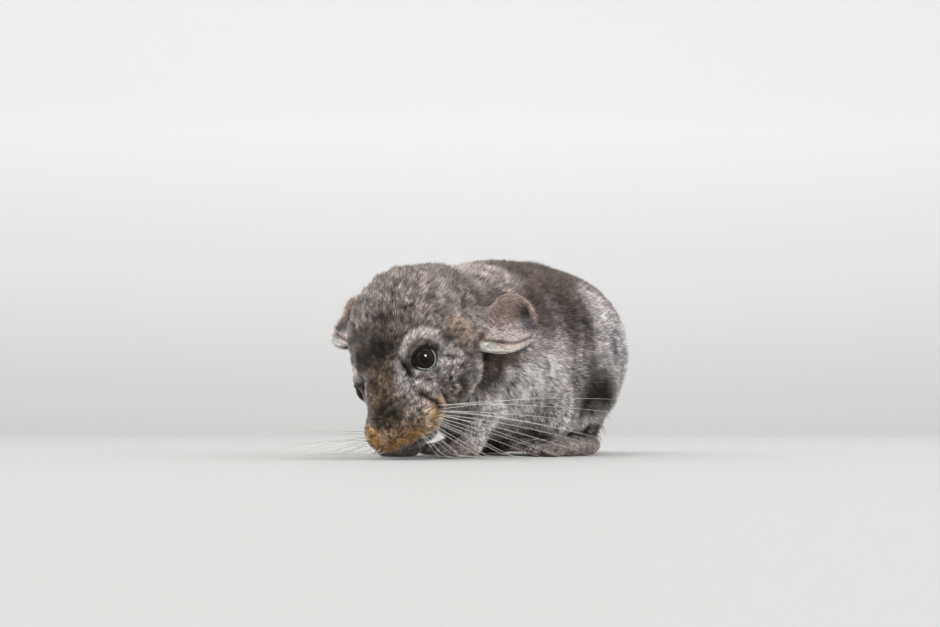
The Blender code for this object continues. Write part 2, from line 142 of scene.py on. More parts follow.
def unit(vectors):
    """Vectors along the last axis, at length one."""
    return vectors / np.maximum(np.linalg.norm(vectors, axis=-1, keepdims=True), 1e-12)


def head_turn():
    """The turn from the level head's axes to the model's."""
    forward = NOSE_AIM.normalized()
    left = CROWN_AIM.cross(forward).normalized()
    up = left.cross(-forward)
    return Matrix((left, -forward, up)).transposed()


HEAD_TURN = head_turn()
EYE_CENTRE = sum(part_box("eye_left"), Vector()) / 2
HEAD_ORIGIN = EYE_CENTRE - HEAD_TURN @ (EYE_PLACE * MM)
BODY_ORIGIN = HEAD_ORIGIN - HEAD_PLACE
TURN = np.array(HEAD_TURN)


def on_head(points):
    """Points of the model in the level head's axes, in millimetres."""
    return (np.asarray(points) - np.array(HEAD_ORIGIN)) @ TURN / MM


def on_body(points):
    """Points of the model in the body's axes, in millimetres."""
    return (np.asarray(points) - np.array(BODY_ORIGIN)) / MM


def from_head(point):
    """A place on the head, as a point of the model."""
    return HEAD_ORIGIN + HEAD_TURN @ (Vector(point) * MM)


def from_body(point):
    """A place on the body, as a point of the model."""
    return BODY_ORIGIN + Vector(point) * MM


def step(low, high, x):
    """0 below low, 1 above high, and smooth between them."""
    t = np.clip((x - low) / (high - low), 0, 1)
    return t * t * (3 - 2 * t)


def ripple(points, size, seed):
    """Smooth noise of about -1 to 1 over points, with bumps of about that size."""
    rng = np.random.default_rng(seed)
    waves = unit(rng.normal(size=(9, 3))) * rng.uniform(0.7, 1.5, (9, 1)) * 2 * math.pi / size
    return np.sin(points @ waves.T + rng.uniform(0, 6.3, 9)).sum(1) / 3


def nearness(points, place, half, edge=0.35):
    """1 inside an ellipsoid and 0 outside it, with a soft edge that is a share of its size."""
    reach = np.linalg.norm((points - np.array(place)) / np.array(half), axis=1)
    return 1 - step(1 - edge, 1 + edge, reach)


def line_gap(points, line):
    """Distance from points to a polyline."""
    best = np.full(len(points), np.inf)
    for a, b in zip(line, line[1:]):
        a, b = np.array(a, float), np.array(b, float)
        t = np.clip((points - a) @ (b - a) / ((b - a) @ (b - a)), 0, 1)
        best = np.minimum(best, np.linalg.norm(points - a - t[:, None] * (b - a), axis=1))
    return best


def stroke(points, line, width, power=2):
    """1 on a polyline, fading to 0 over about that width. A higher power gives it a flatter middle."""
    return np.exp(-((line_gap(points, line) / width) ** power))


def head_share(head):
    """How far points belong to the head and not to the neck."""
    reach = np.linalg.norm((head - np.array(HEAD_MIDDLE)) / np.array(HEAD_HALF), axis=1)
    return 1 - step(0.92, 1.12, reach)


def tail_share(body):
    """How far points belong to the tail."""
    line = np.array(TAIL_LINE, float)
    fine = np.concatenate([np.linspace(a, b, 8) for a, b in zip(line, line[1:])])
    found = np.zeros(len(body))
    rear = np.nonzero(body[:, 1] > 68)[0]
    gap = np.linalg.norm(body[rear, None, :] - fine[None, :, :], axis=2).min(axis=1)
    found[rear] = (1 - step(9, 12, gap)) * step(72, 80, body[rear, 1])
    return found


def folded(head):
    """Points of the head with both sides laid on the left."""
    return np.stack([np.abs(head[:, 0]), head[:, 1], head[:, 2]], 1)


def eye_axes(side):
    """The way an eye looks, towards its inner corner, and across its lids, in the head's axes."""
    aim = Vector((side * EYE_AIM.x, EYE_AIM.y, EYE_AIM.z)).normalized()
    forward = (Vector((0, -1, 0)) + aim * aim.y).normalized()
    up = forward.cross(aim) * side
    turn, lift = math.cos(EYE_TILT), math.sin(EYE_TILT)
    return aim, forward * turn + up * lift, up * turn - forward * lift


def eye_gap(head):
    """Distance to the nearer eye's middle, in millimetres."""
    return np.linalg.norm(folded(head) - np.array(EYE_SEAT), axis=1)


def eye_ring(head):
    """How far points lie from the axis of the nearer eye, where 1 is the edge of its opening."""
    offset = folded(head) - np.array(EYE_SEAT)
    aim, inner, over = (np.array(axis) for axis in eye_axes(1))
    wide, tall = EYE_OPENING
    found = np.hypot(offset @ inner / wide, offset @ over / tall)
    return np.where(offset @ aim > 0, found, 9)


def foot_share(body):
    """How far points belong to the feet and paws."""
    hind = nearness(body, (0, 8, 0), (60, 46, 12), 0.2)
    fore = nearness(body, (0, -58, 0), (34, 16, 10), 0.2)
    return np.maximum(hind, fore) * (1 - step(9, 12, body[:, 2]))


def toe_gaps(body):
    """1 in the grooves between the toes and 0 away from them."""
    found = np.zeros(len(body))
    for toes, reach in ((HIND_TOES, 11), (FORE_TOES, 6)):
        for (x, y, _), (next_x, next_y, _) in zip(toes, toes[1:]):
            across = np.abs(body[:, 0]) - (x + next_x) / 2
            behind = body[:, 1] - (y + next_y) / 2
            groove = np.exp(-((across / 0.9) ** 2)) * step(reach, reach - 4, behind) * step(-6, -4, behind)
            found = np.maximum(found, groove * (1 - step(7, 10, body[:, 2])))
    return found


def crimp(head, body):
    """The waves of the plush, from -1 in its partings to 1 on its ridges."""
    bend = 4 * ripple(body, 30, 41) + 1.2 * ripple(body, 11, 42) - 0.25 * np.abs(body[:, 0])
    trunk = np.sin((body[:, 1] + bend) * 2 * math.pi / 8 + 0.8 * ripple(body, 10, 43))
    trunk = trunk * step(-0.7, 0.5, ripple(body, 24, 44))
    face = ripple(head, 5.5, 45)
    share = head_share(head)
    return np.clip(trunk * (1 - share) + face * share, -1, 1)


def coat_depth(points):
    """The coat's depth at points of the solids, in millimetres."""
    sizes = bpy.context.scene.chinchilla_sizes
    head, body = on_head(points), on_body(points)
    face = np.interp(head[:, 1], *zip(*FACE_COAT))
    face = face * (0.25 + 0.75 * step(7.0, 12.5, eye_gap(head)))
    trunk = sizes.body_coat / MM * (0.6 + 0.4 * step(8, 34, body[:, 2]))
    share = head_share(head)
    depth = face * share + trunk * (1 - share)
    foot = foot_share(body)
    depth = depth * (1 - foot) + 0.5 * foot
    return depth * (1 - tail_share(body))


def relief(points):
    """How far the skin stands out at points of it, in millimetres: waves, brows, creases and lips."""
    head, body = on_head(points), on_body(points)
    fold, share = folded(head), head_share(head)
    calm = step(7.5, 13, eye_gap(head)) * share + 1 - share
    raised = PLUSH_WAVE * crimp(head, body) * calm * (1 - foot_share(body)) * (1 - tail_share(body))
    raised *= 1 - 0.75 * share
    raised += share * BROW_RISE * stroke(fold, BROW, 2.2)
    raised += share * LID_RISE * np.exp(-(((eye_ring(head) - 1.6) / 0.28) ** 2)) * (eye_gap(head) < 12)
    raised -= share * CREASE_DEPTH * stroke(fold, CREASE, 1.6)
    raised -= share * MOUTH_DEPTH * stroke(fold, MOUTH_LINE, 1.0)
    raised -= TOE_GROOVE * toe_gaps(body)
    raised -= HOLLOW_DEPTH * nearness(head, *CROWN_HOLLOW, 0.6)
    return raised


def material(name, roughness, specular=0.5):
    """A material with its Principled shader, ready for links."""
    made = bpy.data.materials.new(name)
    made.use_nodes = True
    shader = made.node_tree.nodes["Principled BSDF"]
    shader.inputs["Roughness"].default_value = roughness
    shader.inputs["Specular IOR Level"].default_value = specular
    return made, made.node_tree, shader


def node(tree, kind, **values):
    """A shader node with its named inputs and properties set."""
    made = tree.nodes.new(kind)
    for key, value in values.items():
        if hasattr(made, key):
            setattr(made, key, value)
        else:
            made.inputs[key.replace("_", " ")].default_value = value
    return made


def set_or_link(tree, socket, value):
    """Puts a number or tuple on a socket, or links another socket to it."""
    if isinstance(value, bpy.types.NodeSocket):
        tree.links.new(value, socket)
    else:
        socket.default_value = value


def product(tree, first, second):
    """A Math node that multiplies two sockets or numbers."""
    made = node(tree, "ShaderNodeMath", operation="MULTIPLY")
    for socket, value in zip(made.inputs, (first, second)):
        set_or_link(tree, socket, value)
    return made.outputs[0]


def scaled(tree, colour, amount):
    """A colour socket times a number socket."""
    made = node(tree, "ShaderNodeVectorMath", operation="SCALE")
    tree.links.new(colour, made.inputs[0])
    tree.links.new(amount, made.inputs["Scale"])
    return made.outputs[0]


def spread(tree, value, low, high, new_low, new_high):
    """A Map Range node from one span to another, clamped."""
    made = node(tree, "ShaderNodeMapRange")
    tree.links.new(value, made.inputs["Value"])
    for name, number in zip(("From Min", "From Max", "To Min", "To Max"), (low, high, new_low, new_high)):
        made.inputs[name].default_value = number
    return made.outputs[0]


def mixed(tree, factor, first, second):
    """A colour Mix node. The factor and each colour is a socket, a number or a tuple."""
    made = node(tree, "ShaderNodeMix", data_type="RGBA")
    for socket, value in zip((made.inputs[0], made.inputs[6], made.inputs[7]), (factor, first, second)):
        set_or_link(tree, socket, value)
    return made.outputs[2]


def read(tree, name, output="Color"):
    """A socket that gives a mesh's own attribute."""
    return node(tree, "ShaderNodeAttribute", attribute_name=name).outputs[output]


def object_place(tree):
    """A socket that gives a piece's own points."""
    return node(tree, "ShaderNodeTexCoord").outputs["Object"]


def noise(tree, place, scale, detail, roughness=0.5):
    """Noise over a place, from about 0.3 to 0.7."""
    made = node(tree, "ShaderNodeTexNoise", Scale=scale, Detail=detail, Roughness=roughness)
    tree.links.new(place, made.inputs["Vector"])
    return made.outputs["Fac"]


def roughen(tree, shader, height, strength, distance):
    """Bumps a shader's surface by a height."""
    made = node(tree, "ShaderNodeBump", Strength=strength, Distance=distance)
    tree.links.new(height, made.inputs["Height"])
    tree.links.new(made.outputs["Normal"], shader.inputs["Normal"])


def ticked_group():
    """Shared by skin and coat: the banded grey hair, mottled where the plush parts, and dark towards each
    tuft's root: partly the hair's dark base, partly painted shade between the tufts.
    """
    name = "ticked_fur"
    if name in bpy.data.node_groups:
        return bpy.data.node_groups[name]
    group = bpy.data.node_groups.new(name, "ShaderNodeTree")
    for label, kind in (("Place", "NodeSocketVector"), ("Tint", "NodeSocketColor"),
                        ("Along", "NodeSocketFloat"), ("Pick", "NodeSocketFloat")):
        group.interface.new_socket(label, in_out="INPUT", socket_type=kind)
    group.interface.new_socket("Color", in_out="OUTPUT", socket_type="NodeSocketColor")
    start = group.nodes.new("NodeGroupInput")
    end = group.nodes.new("NodeGroupOutput")
    mottle = spread(group, noise(group, start.outputs["Place"], 260, 3, 0.6), 0.34, 0.66, 0.62, 1.38)
    speck = spread(group, noise(group, start.outputs["Place"], 900, 2, 0.6), 0.34, 0.66, 0.42, 1.62)
    lone = spread(group, start.outputs["Pick"], 0.0, 1.0, 0.3, 1.75)
    # each tuft darkens towards its root: partly the hair's dark base, partly painted shade between the tufts
    banding_and_root_shade = node(group, "ShaderNodeFloatCurve")
    curve = banding_and_root_shade.mapping.curves[0]
    curve.points[0].location = (0.0, 0.14)
    curve.points[1].location = (1.0, 1.0)
    for place, height in ((0.4, 0.55), (0.75, 1.12), (0.9, 1.12)):
        curve.points.new(place, height)
    banding_and_root_shade.mapping.update()
    group.links.new(start.outputs["Along"], banding_and_root_shade.inputs["Value"])
    total = product(group, product(group, mottle, speck), product(group, lone, banding_and_root_shade.outputs[0]))
    group.links.new(scaled(group, start.outputs["Tint"], total), end.inputs["Color"])
    return group


def fur_material(name, place, along=None, pick=None, bump=0.0):
    """Fur on the shared markings. place is an attribute's name, or None for the object's own points."""
    made, tree, shader = material(name, 0.62, 0.25)
    shader.inputs["Sheen Weight"].default_value = 0.12
    shader.inputs["Sheen Roughness"].default_value = 0.5
    group = node(tree, "ShaderNodeGroup", node_tree=ticked_group())
    spot = read(tree, place, "Vector") if place else object_place(tree)
    tree.links.new(read(tree, "tint"), group.inputs["Tint"])
    tree.links.new(spot, group.inputs["Place"])
    set_or_link(tree, group.inputs["Along"], read(tree, along, "Fac") if along else 0.6)
    set_or_link(tree, group.inputs["Pick"], read(tree, pick, "Fac") if pick else 0.5)
    tree.links.new(group.outputs["Color"], shader.inputs["Base Color"])
    if bump:
        roughen(tree, shader, noise(tree, spot, 2400, 3), bump, 0.6 * MM)
    return made


def grey(value):
    """The linear albedo of a picture's sRGB value from 0 to 255."""
    v = value / 255
    return v / 12.92 if v <= 0.04045 else ((v + 0.055) / 1.055) ** 2.4


def srgb(*values):
    """The linear albedos of the three values of an sRGB colour."""
    return np.array([grey(v) for v in values])


# Colours of the coat, as they look in even light, except that haunch and shade are painted shade, and the
# tuft colour and one of the side marks below are partly painted shade
COAT = {
    "back": (100, 89, 81), "flank": (208, 200, 198), "low": (224, 216, 213), "belly": (214, 208, 202),
    "nape": (204, 193, 188), "rump": (216, 208, 209), "haunch_shade": (30, 24, 20), "shoulder": (78, 70, 65),
    "shade": (84, 72, 62), "tuft": (96, 74, 54), "neck": (244, 237, 235), "side": (82, 72, 66),
    "crown": (150, 140, 134), "forehead": (64, 54, 43), "spot": (32, 25, 18), "brow": (218, 210, 204),
    "cheek": (176, 169, 166), "bridge": (92, 78, 63), "stripe": (190, 183, 185), "muzzle": (118, 102, 82),
    "pad": (190, 178, 170), "nose": (44, 34, 20), "gold": (200, 150, 84), "rim": (14, 11, 10),
    "temple": (160, 138, 118), "jaw": (150, 140, 130), "dark": (58, 50, 42), "sand": (190, 172, 154),
    "paw": (168, 156, 150), "tail": (84, 75, 70), "tail_top": (62, 54, 50), "tail_under": (158, 149, 143),
}

# Marks on head and body, the same on both sides: colour, middle, half sizes and strength
HEAD_MARKS = (
    ("cheek", (24, -20, -5), (6, 12, 10), 0.8),
    ("cheek", (17.5, -31.5, 0), (5, 6, 7), 0.7),
    ("dark", (26, -19, -15.5), (7, 13, 6), 0.7),
    ("dark", (29, -12, -12), (4, 5, 6), 0.6),
    ("temple", (28.5, -7, -6), (5, 8, 8), 0.65),
    ("dark", (27, -13, 0), (3, 3, 3), 0.6),
    ("dark", (24, -3, 5), (5, 5, 5), 0.4),
    ("bridge", (0, -33, 13), (9, 14, 9), 0.95),
    ("forehead", (0, -15, 20), (13, 8, 9), 0.8),
    ("spot", (6, -20, 18), (7, 4, 6), 0.9),
    ("forehead", (12.3, -9.2, 18.3), (9, 7, 7), 0.5),
    ("spot", (8, -6.5, 21), (5, 2.2, 4), 0.5),
    ("back", (15, 24, 12), (12, 8, 14), 0.5),
    ("stripe", (11.2, -34, 9), (2.8, 9, 4), 0.9),
    ("muzzle", (0, -40, 10), (13, 5, 8), 0.6),
    ("nose", (0, -47, 7), (11, 6, 8), 0.85),
    ("pad", (16, -45, -0.5), (6, 5.5, 5), 0.85),
)
BODY_MARKS = (
    ("shoulder", (24, -40, 64), (16, 14, 8), 0.75),
    ("nape", (12, -36, 86), (24, 16, 15), 0.85),
    ("back", (8, 4, 92), (30, 24, 14), 0.7),
    ("side", (37, 2, 64), (11, 13, 13), 0.8),
    ("side", (42, 13, 62), (14, 5, 30), 0.8),
    # partly painted shade: a dark fold in the fur behind the ear
    ("side", (33, -16, 62), (12, 9, 14), 0.85),
    ("neck", (34, -13, 30), (10, 9.5, 24), 0.95),
    ("neck", (31, -30, 36), (10, 5, 14), 0.6),
    # painted shade under the ear
    ("shade", (26, -47, 41), (11, 9, 11), 0.9),
    # brown hair under the ear's lip, darkened with painted shade
    ("tuft", (29, -37, 47), (9, 8, 5), 0.8),
    ("rump", (36, 29, 72), (14, 13, 13), 0.9),
    ("rump", (44, 36, 52), (20, 20, 16), 0.75),
    # painted shade: the low rear of the haunch, nearly black where shade falls under it
    ("haunch_shade", (42, 20, 20), (20, 19, 24), 1.0),
)


def blend(base, name, share):
    """Colours with one of the coat's colours laid over them."""
    return base * (1 - share[:, None]) + srgb(*COAT[name]) * share[:, None]


def with_marks(base, places, marks):
    """Colours with a table of marks laid over them."""
    for name, middle, half, strength in marks:
        base = blend(base, name, strength * nearness(places, middle, half, 0.5))
    return base


def trunk_tint(body, normals, wave):
    """The coat's colour at points of the trunk: a dark back, pale flanks, patches and bars."""
    side = folded(body)
    height = body[:, 2] + 5 * ripple(body, 26, 5)
    trunk = np.tile(srgb(*COAT["flank"]), (len(body), 1))
    trunk = blend(trunk, "back", step(52, 78, height))
    trunk = blend(trunk, "low", step(40, 20, height))
    trunk = with_marks(trunk, side, BODY_MARKS)
    trunk = blend(trunk, "belly", step(-0.2, -0.8, normals[:, 2]) * (1 - step(26, 34, body[:, 2])))
    blotch = 0.7 * ripple(body * (1, 1, 0.5), 14, 48) + 0.5 * ripple(body, 4.5, 47)
    bars = np.sin(body[:, 2] * 1.4 + 1.5 * ripple(body, 14, 49))
    bars = bars * nearness(side, (42, 34, 58), (20, 20, 22), 0.4)
    # partly painted shade and light: the colour follows the plush's waves, darker in its partings and paler
    # on its ridges, besides the real blotches and bars
    return trunk * np.clip(1 + 0.30 * wave + 0.28 * blotch + 0.14 * bars, 0.25, 1.8)[:, None]


def face_tint(head, wave):
    """The coat's colour at points of the head, with the dark skin round its eyes."""
    fold = folded(head)
    face = np.tile(srgb(*COAT["crown"]), (len(head), 1))
    face = blend(face, "jaw", step(-10, -20, head[:, 2]))
    face = with_marks(face, fold, HEAD_MARKS)
    face = blend(face, "sand", 0.8 * stroke(head, SAND_STREAK, 2))
    lip = line_gap(fold, GOLD_RIM) / (4.6 - 1.6 * step(-47, -42, fold[:, 1]))
    face = blend(face, "gold", 0.92 * np.exp(-(lip**1.6)))
    face = blend(face, "gold", 0.7 * nearness(head, *GOLD_PATCH, 0.5))
    shadow = np.exp(-(((line_gap(fold, BROW) - 3.6) / 1.1) ** 2)) * step(-2, 4, head[:, 2])
    face = blend(face, "spot", 0.55 * shadow)
    face = blend(face, "brow", 0.85 * stroke(fold, BROW[:-1], 2.1, 4))
    # painted shade along the crease from the eye to the whisker pad
    face = blend(face, "spot", stroke(fold, CREASE, 1.9, 4))
    flecks = step(0.15, 0.6, ripple(head, 2.6, 51)) * nearness(fold, (25, -20, -9), (9, 17, 15), 0.4)
    face = blend(face, "dark", 0.5 * flecks)
    along, up = fold[:, 1], fold[:, 2]
    rows = step(0.35, 0.8, np.sin(along * 2.1 - up * 1.3) * np.sin(up * 2.2 + along * 0.7))
    face = blend(face, "spot", 0.6 * rows * nearness(fold, (15.5, -46, -1), (7, 7, 6.5), 0.4))
    face = blend(face, "rim", (eye_gap(head) < 11) * (1 - step(1.05, 1.2, eye_ring(head))))
    face = blend(face, "rim", 0.9 * stroke(fold, EYE_CORNER, 1.4))
    face = blend(face, "spot", 0.8 * stroke(fold, EYE_TAIL, 1.1))
    calm_gaps = (line_gap(fold, BROW) / 4, line_gap(fold, GOLD_RIM) / 5, line_gap(fold, STRIPE) / 3.5)
    mottle = 1 - 0.8 * np.exp(-(np.minimum.reduce(calm_gaps) ** 4))
    # partly painted shade and light: the colour follows the plush's waves, darker in its partings and paler
    # on its ridges, besides the real speckle
    return face * np.clip(1 + mottle * (0.40 * wave + 0.40 * ripple(head, 3.4, 46)), 0.2, 1.9)[:, None]


def tint(points, normals):
    """The coat's colour at points of the skin, before its fine mottling."""
    head, body = on_head(points), on_body(points)
    share = head_share(head)[:, None]
    wave = crimp(head, body)
    coat = face_tint(head, wave) * share + trunk_tint(body, normals, wave) * (1 - share)
    coat = blend(coat, "paw", foot_share(body))
    # painted shade in the grooves between the toes
    coat = coat * (1 - 0.65 * toe_gaps(body)[:, None])
    coat = blend(coat, "tail", tail_share(body))
    return np.clip(coat, 0.004, 0.9)


def new_object(name, mesh, *materials):
    """A mesh as a piece of the scene, with its materials."""
    made = bpy.data.objects.new(name, mesh)
    bpy.context.scene.collection.objects.link(made)
    for look in materials:
        mesh.materials.append(look)
    return made


def object_from(name, bm, *materials):
    """A bmesh as a smooth piece of the scene, with its materials."""
    mesh = bpy.data.meshes.new(name)
    bm.to_mesh(mesh)
    bm.free()
    mesh.shade_smooth()
    return new_object(name, mesh, *materials)


def apply_modifiers(obj):
    """Puts the result of an object's modifiers in place of its mesh."""
    graph = bpy.context.evaluated_depsgraph_get()
    mesh = bpy.data.meshes.new_from_object(obj.evaluated_get(graph))
    old = obj.data
    obj.modifiers.clear()
    obj.data = mesh
    mesh.name = obj.name
    bpy.data.meshes.remove(old)
    return obj


def keep_largest(obj):
    """Leaves only the surface with the most vertices."""
    bm = bmesh.new()
    bm.from_mesh(obj.data)
    left = set(bm.verts)
    shells = []
    while left:
        stack = [left.pop()]
        shell = list(stack)
        while stack:
            for edge in stack.pop().link_edges:
                for vert in edge.verts:
                    if vert in left:
                        left.discard(vert)
                        shell.append(vert)
                        stack.append(vert)
        shells.append(shell)
    best = max(shells, key=len)
    spare = [vert for shell in shells if shell is not best for vert in shell]
    bmesh.ops.delete(bm, geom=spare, context="VERTS")
    bm.to_mesh(obj.data)
    bm.free()


def curve_through(points, steps):
    """A smooth curve through points, as a list of points."""
    points = [Vector(point) for point in points]
    ends = [2 * points[0] - points[1], *points, 2 * points[-1] - points[-2]]
    found = []
    for i in range(1, len(ends) - 2):
        before, start, end, after = ends[i - 1 : i + 3]
        for k in range(steps):
            t = k / steps
            bend = 2 * before - 5 * start + 4 * end - after
            lift = 3 * start - before - 3 * end + after
            found.append(0.5 * (2 * start + (end - before) * t + bend * t * t + lift * t**3))
    return [*found, points[-1]]


def sheet(bm, columns, rows):
    """Adds a grid, and gives each of its corners with its column and row, to be moved into place."""
    grid = bmesh.ops.create_grid(bm, x_segments=columns, y_segments=rows, size=0.5)
    for vert in grid["verts"]:
        yield vert, round((vert.co.x + 0.5) * columns), round((vert.co.y + 0.5) * rows)


def close_up(bm):
    """Joins the corners that meet, fills what stays open, and turns all faces outwards."""
    bmesh.ops.remove_doubles(bm, verts=bm.verts, dist=1e-8)
    bmesh.ops.holes_fill(bm, edges=bm.edges)
    bmesh.ops.recalc_face_normals(bm, faces=bm.faces)


def coordinates(mesh):
    """The places of a mesh's vertices as an array."""
    found = np.empty(len(mesh.vertices) * 3)
    mesh.vertices.foreach_get("co", found)
    return found.reshape(-1, 3)


def vertex_normals(mesh):
    """The normals of a mesh's vertices as an array."""
    found = np.empty(len(mesh.vertices) * 3)
    mesh.vertex_normals.foreach_get("vector", found)
    return found.reshape(-1, 3)


def set_points(mesh, points):
    """Moves a mesh's vertices."""
    mesh.vertices.foreach_set("co", points.astype(np.float32).ravel())
    mesh.update()


def add_attribute(mesh, name, kind, values):
    """Gives a mesh an attribute with a value for each vertex."""
    key = {"FLOAT": "value", "FLOAT_VECTOR": "vector", "FLOAT_COLOR": "color"}[kind]
    made = mesh.attributes.new(name, kind, "POINT")
    made.data.foreach_set(key, np.ascontiguousarray(values, np.float32).ravel())


def with_alpha(colours):
    """Colours with a fourth value of one."""
    return np.concatenate([colours, np.ones((len(colours), 1))], 1)


def open_eyes(head, points):
    """Moves the skin that lies over the opening of each eye back into the eyeball."""
    inside = (eye_ring(head) < 1.1) & (eye_gap(head) < 9)
    side = np.sign(head[inside, 0:1])
    centre = np.concatenate([side * EYE_SEAT.x, np.full_like(side, EYE_SEAT.y),
                             np.full_like(side, EYE_SEAT.z)], 1)
    sunk = centre + unit(head[inside] - centre) * (EYE_RADIUS - 0.9)
    points[inside] = np.array(HEAD_ORIGIN) + (sunk * MM) @ TURN.T
    return points


class Sizes(bpy.types.PropertyGroup):
    grain: FloatProperty(name="Skin grain", description="Side of the skin's faces",
                         default=1.0 * MM, unit="LENGTH")
    body_coat: FloatProperty(name="Body coat", description="Depth of the plush on the trunk",
                             default=3.3 * MM, unit="LENGTH")
    hair_width: FloatProperty(name="Tuft width", description="Width of a tuft of the plush at its root",
                              default=0.62 * MM, unit="LENGTH")
    body_tufts: FloatProperty(name="Body tufts", description="Tufts to a square millimetre of trunk",
                              default=4.5)
    face_tufts: FloatProperty(name="Face tufts", description="Tufts to a square millimetre of face",
                              default=11.0)
    tail_tufts: IntProperty(name="Tail tufts", description="Long tufts along the whole tail", default=6000)
    whiskers: IntProperty(name="Whiskers", description="Whiskers on each side", default=20)
    whisker_width: FloatProperty(name="Whisker width", description="Thickness of a whisker at its root",
                                 default=0.28 * MM, unit="LENGTH")


class Colours(bpy.types.PropertyGroup):
    eye: FloatVectorProperty(name="Eye", description="Colour of the iris", subtype="COLOR",
                             default=(0.0075, 0.0040, 0.0022))
    lid: FloatVectorProperty(name="Lids", description="Colour of the bare rim of the eye", subtype="COLOR",
                             default=(0.005, 0.004, 0.0035))
    whisker: FloatVectorProperty(name="Whisker", description="Colour of the whiskers", subtype="COLOR",
                                 default=(0.80, 0.77, 0.72))
    ground: FloatVectorProperty(name="Floor", description="Colour of the floor",
                                subtype="COLOR", default=(0.60, 0.60, 0.595))
    backdrop: FloatVectorProperty(name="Backdrop", description="Colour of the top of the backdrop",
                                  subtype="COLOR", default=(0.93, 0.93, 0.93))


class Stage(bpy.types.PropertyGroup):
    distance: FloatProperty(name="Distance", description="From the animal's middle to the camera",
                            default=0.651, unit="LENGTH")
    height: FloatProperty(name="Height", description="Height of the camera over the floor",
                          default=0.014, unit="LENGTH")
    turn: FloatProperty(name="Turn", description="Angle of the camera round to the animal's left",
                        default=math.radians(40), subtype="ANGLE")
    tilt: FloatProperty(name="Tilt", description="How far the camera looks up",
                        default=math.radians(4.97), subtype="ANGLE")
    aside: FloatProperty(name="Aside", description="How far the camera stands to its left of the middle",
                         default=0.0158, unit="LENGTH")
    lens: FloatProperty(name="Lens", description="Focal length of the camera on a 36 mm sensor",
                        default=50.0, unit="CAMERA")


def plain_copy(name):
    """The mesh of a solid as a bmesh with its corners merged."""
    bm = bmesh.new()
    bm.from_mesh(frame["nodes"][name].data)
    bmesh.ops.remove_doubles(bm, verts=bm.verts, dist=1e-7)
    bm.normal_update()
    return bm


class CHINCHILLA_OT_skin(bpy.types.Operator):
    """One skin under the whole coat, sunk below the solids by the coat's depth"""

    bl_idname = "chinchilla.skin"
    bl_label = "Skin"

    def execute(self, context):
        sizes = context.scene.chinchilla_sizes
        whole = bmesh.new()
        for name in FLESH:
            bm = plain_copy(name)
            for vert in bm.verts:
                vert.co += vert.normal * 0.35 * MM
            mesh = bpy.data.meshes.new("flesh")
            bm.to_mesh(mesh)
            bm.free()
            whole.from_mesh(mesh)
            bpy.data.meshes.remove(mesh)
        for side in (1, -1):
            place = Matrix.LocRotScale(from_head((side * PAD_PLACE.x, PAD_PLACE.y, PAD_PLACE.z)),
                                       HEAD_TURN, PAD_SIZE * MM)
            bmesh.ops.create_icosphere(whole, subdivisions=4, radius=1, matrix=place)
        line = curve_through(TAIL_LINE, 6)
        for i, point in enumerate(line):
            radius = np.interp(i / (len(line) - 1), np.linspace(0, 1, len(TAIL_RADII)), TAIL_RADII)
            place = Matrix.LocRotScale(from_body(point), None, Vector((1, 1, 1)) * float(radius) * MM)
            bmesh.ops.create_icosphere(whole, subdivisions=3, radius=1, matrix=place)
        skin = object_from("skin", whole)
        shell = skin.modifiers.new("shell", "REMESH")
        shell.mode = "VOXEL"
        shell.voxel_size = sizes.grain
        calm = skin.modifiers.new("calm", "SMOOTH")
        calm.factor = 0.5
        calm.iterations = 6
        apply_modifiers(skin)
        keep_largest(skin)
        mesh = skin.data
        points = coordinates(mesh)
        sunk = coat_depth(points) - relief(points)
        points = points - vertex_normals(mesh) * sunk[:, None] * MM
        points = open_eyes(on_head(points), points)
        points[:, 2] = np.maximum(points[:, 2], FLOOR_GAP)
        set_points(mesh, points)
        normals = vertex_normals(mesh)
        mesh.shade_smooth()
        bpy.context.view_layer.objects.active = skin
        skin.select_set(True)
        bpy.ops.object.mode_set(mode="EDIT")
        bpy.ops.mesh.select_all(action="SELECT")
        bpy.ops.uv.smart_project(angle_limit=math.radians(66), island_margin=0.002)
        bpy.ops.object.mode_set(mode="OBJECT")
        mesh = skin.data
        mesh.uv_layers[0].name = "OFBake"
        add_attribute(mesh, "tint", "FLOAT_COLOR", with_alpha(0.7 * tint(points, normals)))
        mesh.materials.append(fur_material("short_fur", None, bump=0.5))
        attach(skin, "root")
        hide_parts(*SKIN_STANDS_FOR)
        return {"FINISHED"}


class Ground:
    """The skin as arrays, for rooting the coat."""

    def __init__(self):
        mesh = bpy.data.objects["skin"].data
        mesh.calc_loop_triangles()
        count = len(mesh.loop_triangles)
        corners = np.empty(count * 3, np.int32)
        loops = np.empty(count * 3, np.int32)
        mesh.loop_triangles.foreach_get("vertices", corners)
        mesh.loop_triangles.foreach_get("loops", loops)
        self.points = coordinates(mesh)
        self.normals = vertex_normals(mesh)
        self.corners = corners.reshape(-1, 3)
        unwrap = np.empty(len(mesh.loops) * 2)
        mesh.uv_layers["OFBake"].data.foreach_get("uv", unwrap)
        self.unwrap = unwrap.reshape(-1, 2)[loops.reshape(-1, 3)]
        a, b, c = (self.points[self.corners[:, k]] for k in range(3))
        self.areas = np.linalg.norm(np.cross(b - a, c - a), axis=1) / 2 / MM**2
        self.centres = (a + b + c) / 3

    def scatter(self, density, seed):
        """Roots spread evenly over the skin: place, normal and place on the unwrap."""
        rng = np.random.default_rng(seed)
        total = np.cumsum(self.areas * density(self.centres))
        count = int(total[-1])
        face = np.searchsorted(total, np.arange(count) + rng.random(count))
        face = np.minimum(face, len(self.corners) - 1)
        u, v = rng.random(count), rng.random(count)
        over = u + v > 1
        u[over], v[over] = 1 - u[over], 1 - v[over]
        weights = np.stack([1 - u - v, u, v], 1)[:, :, None]
        places = (self.points[self.corners[face]] * weights).sum(1)
        normals = unit((self.normals[self.corners[face]] * weights).sum(1))
        unwrap = (self.unwrap[face] * weights).sum(1)
        return places, normals, unwrap


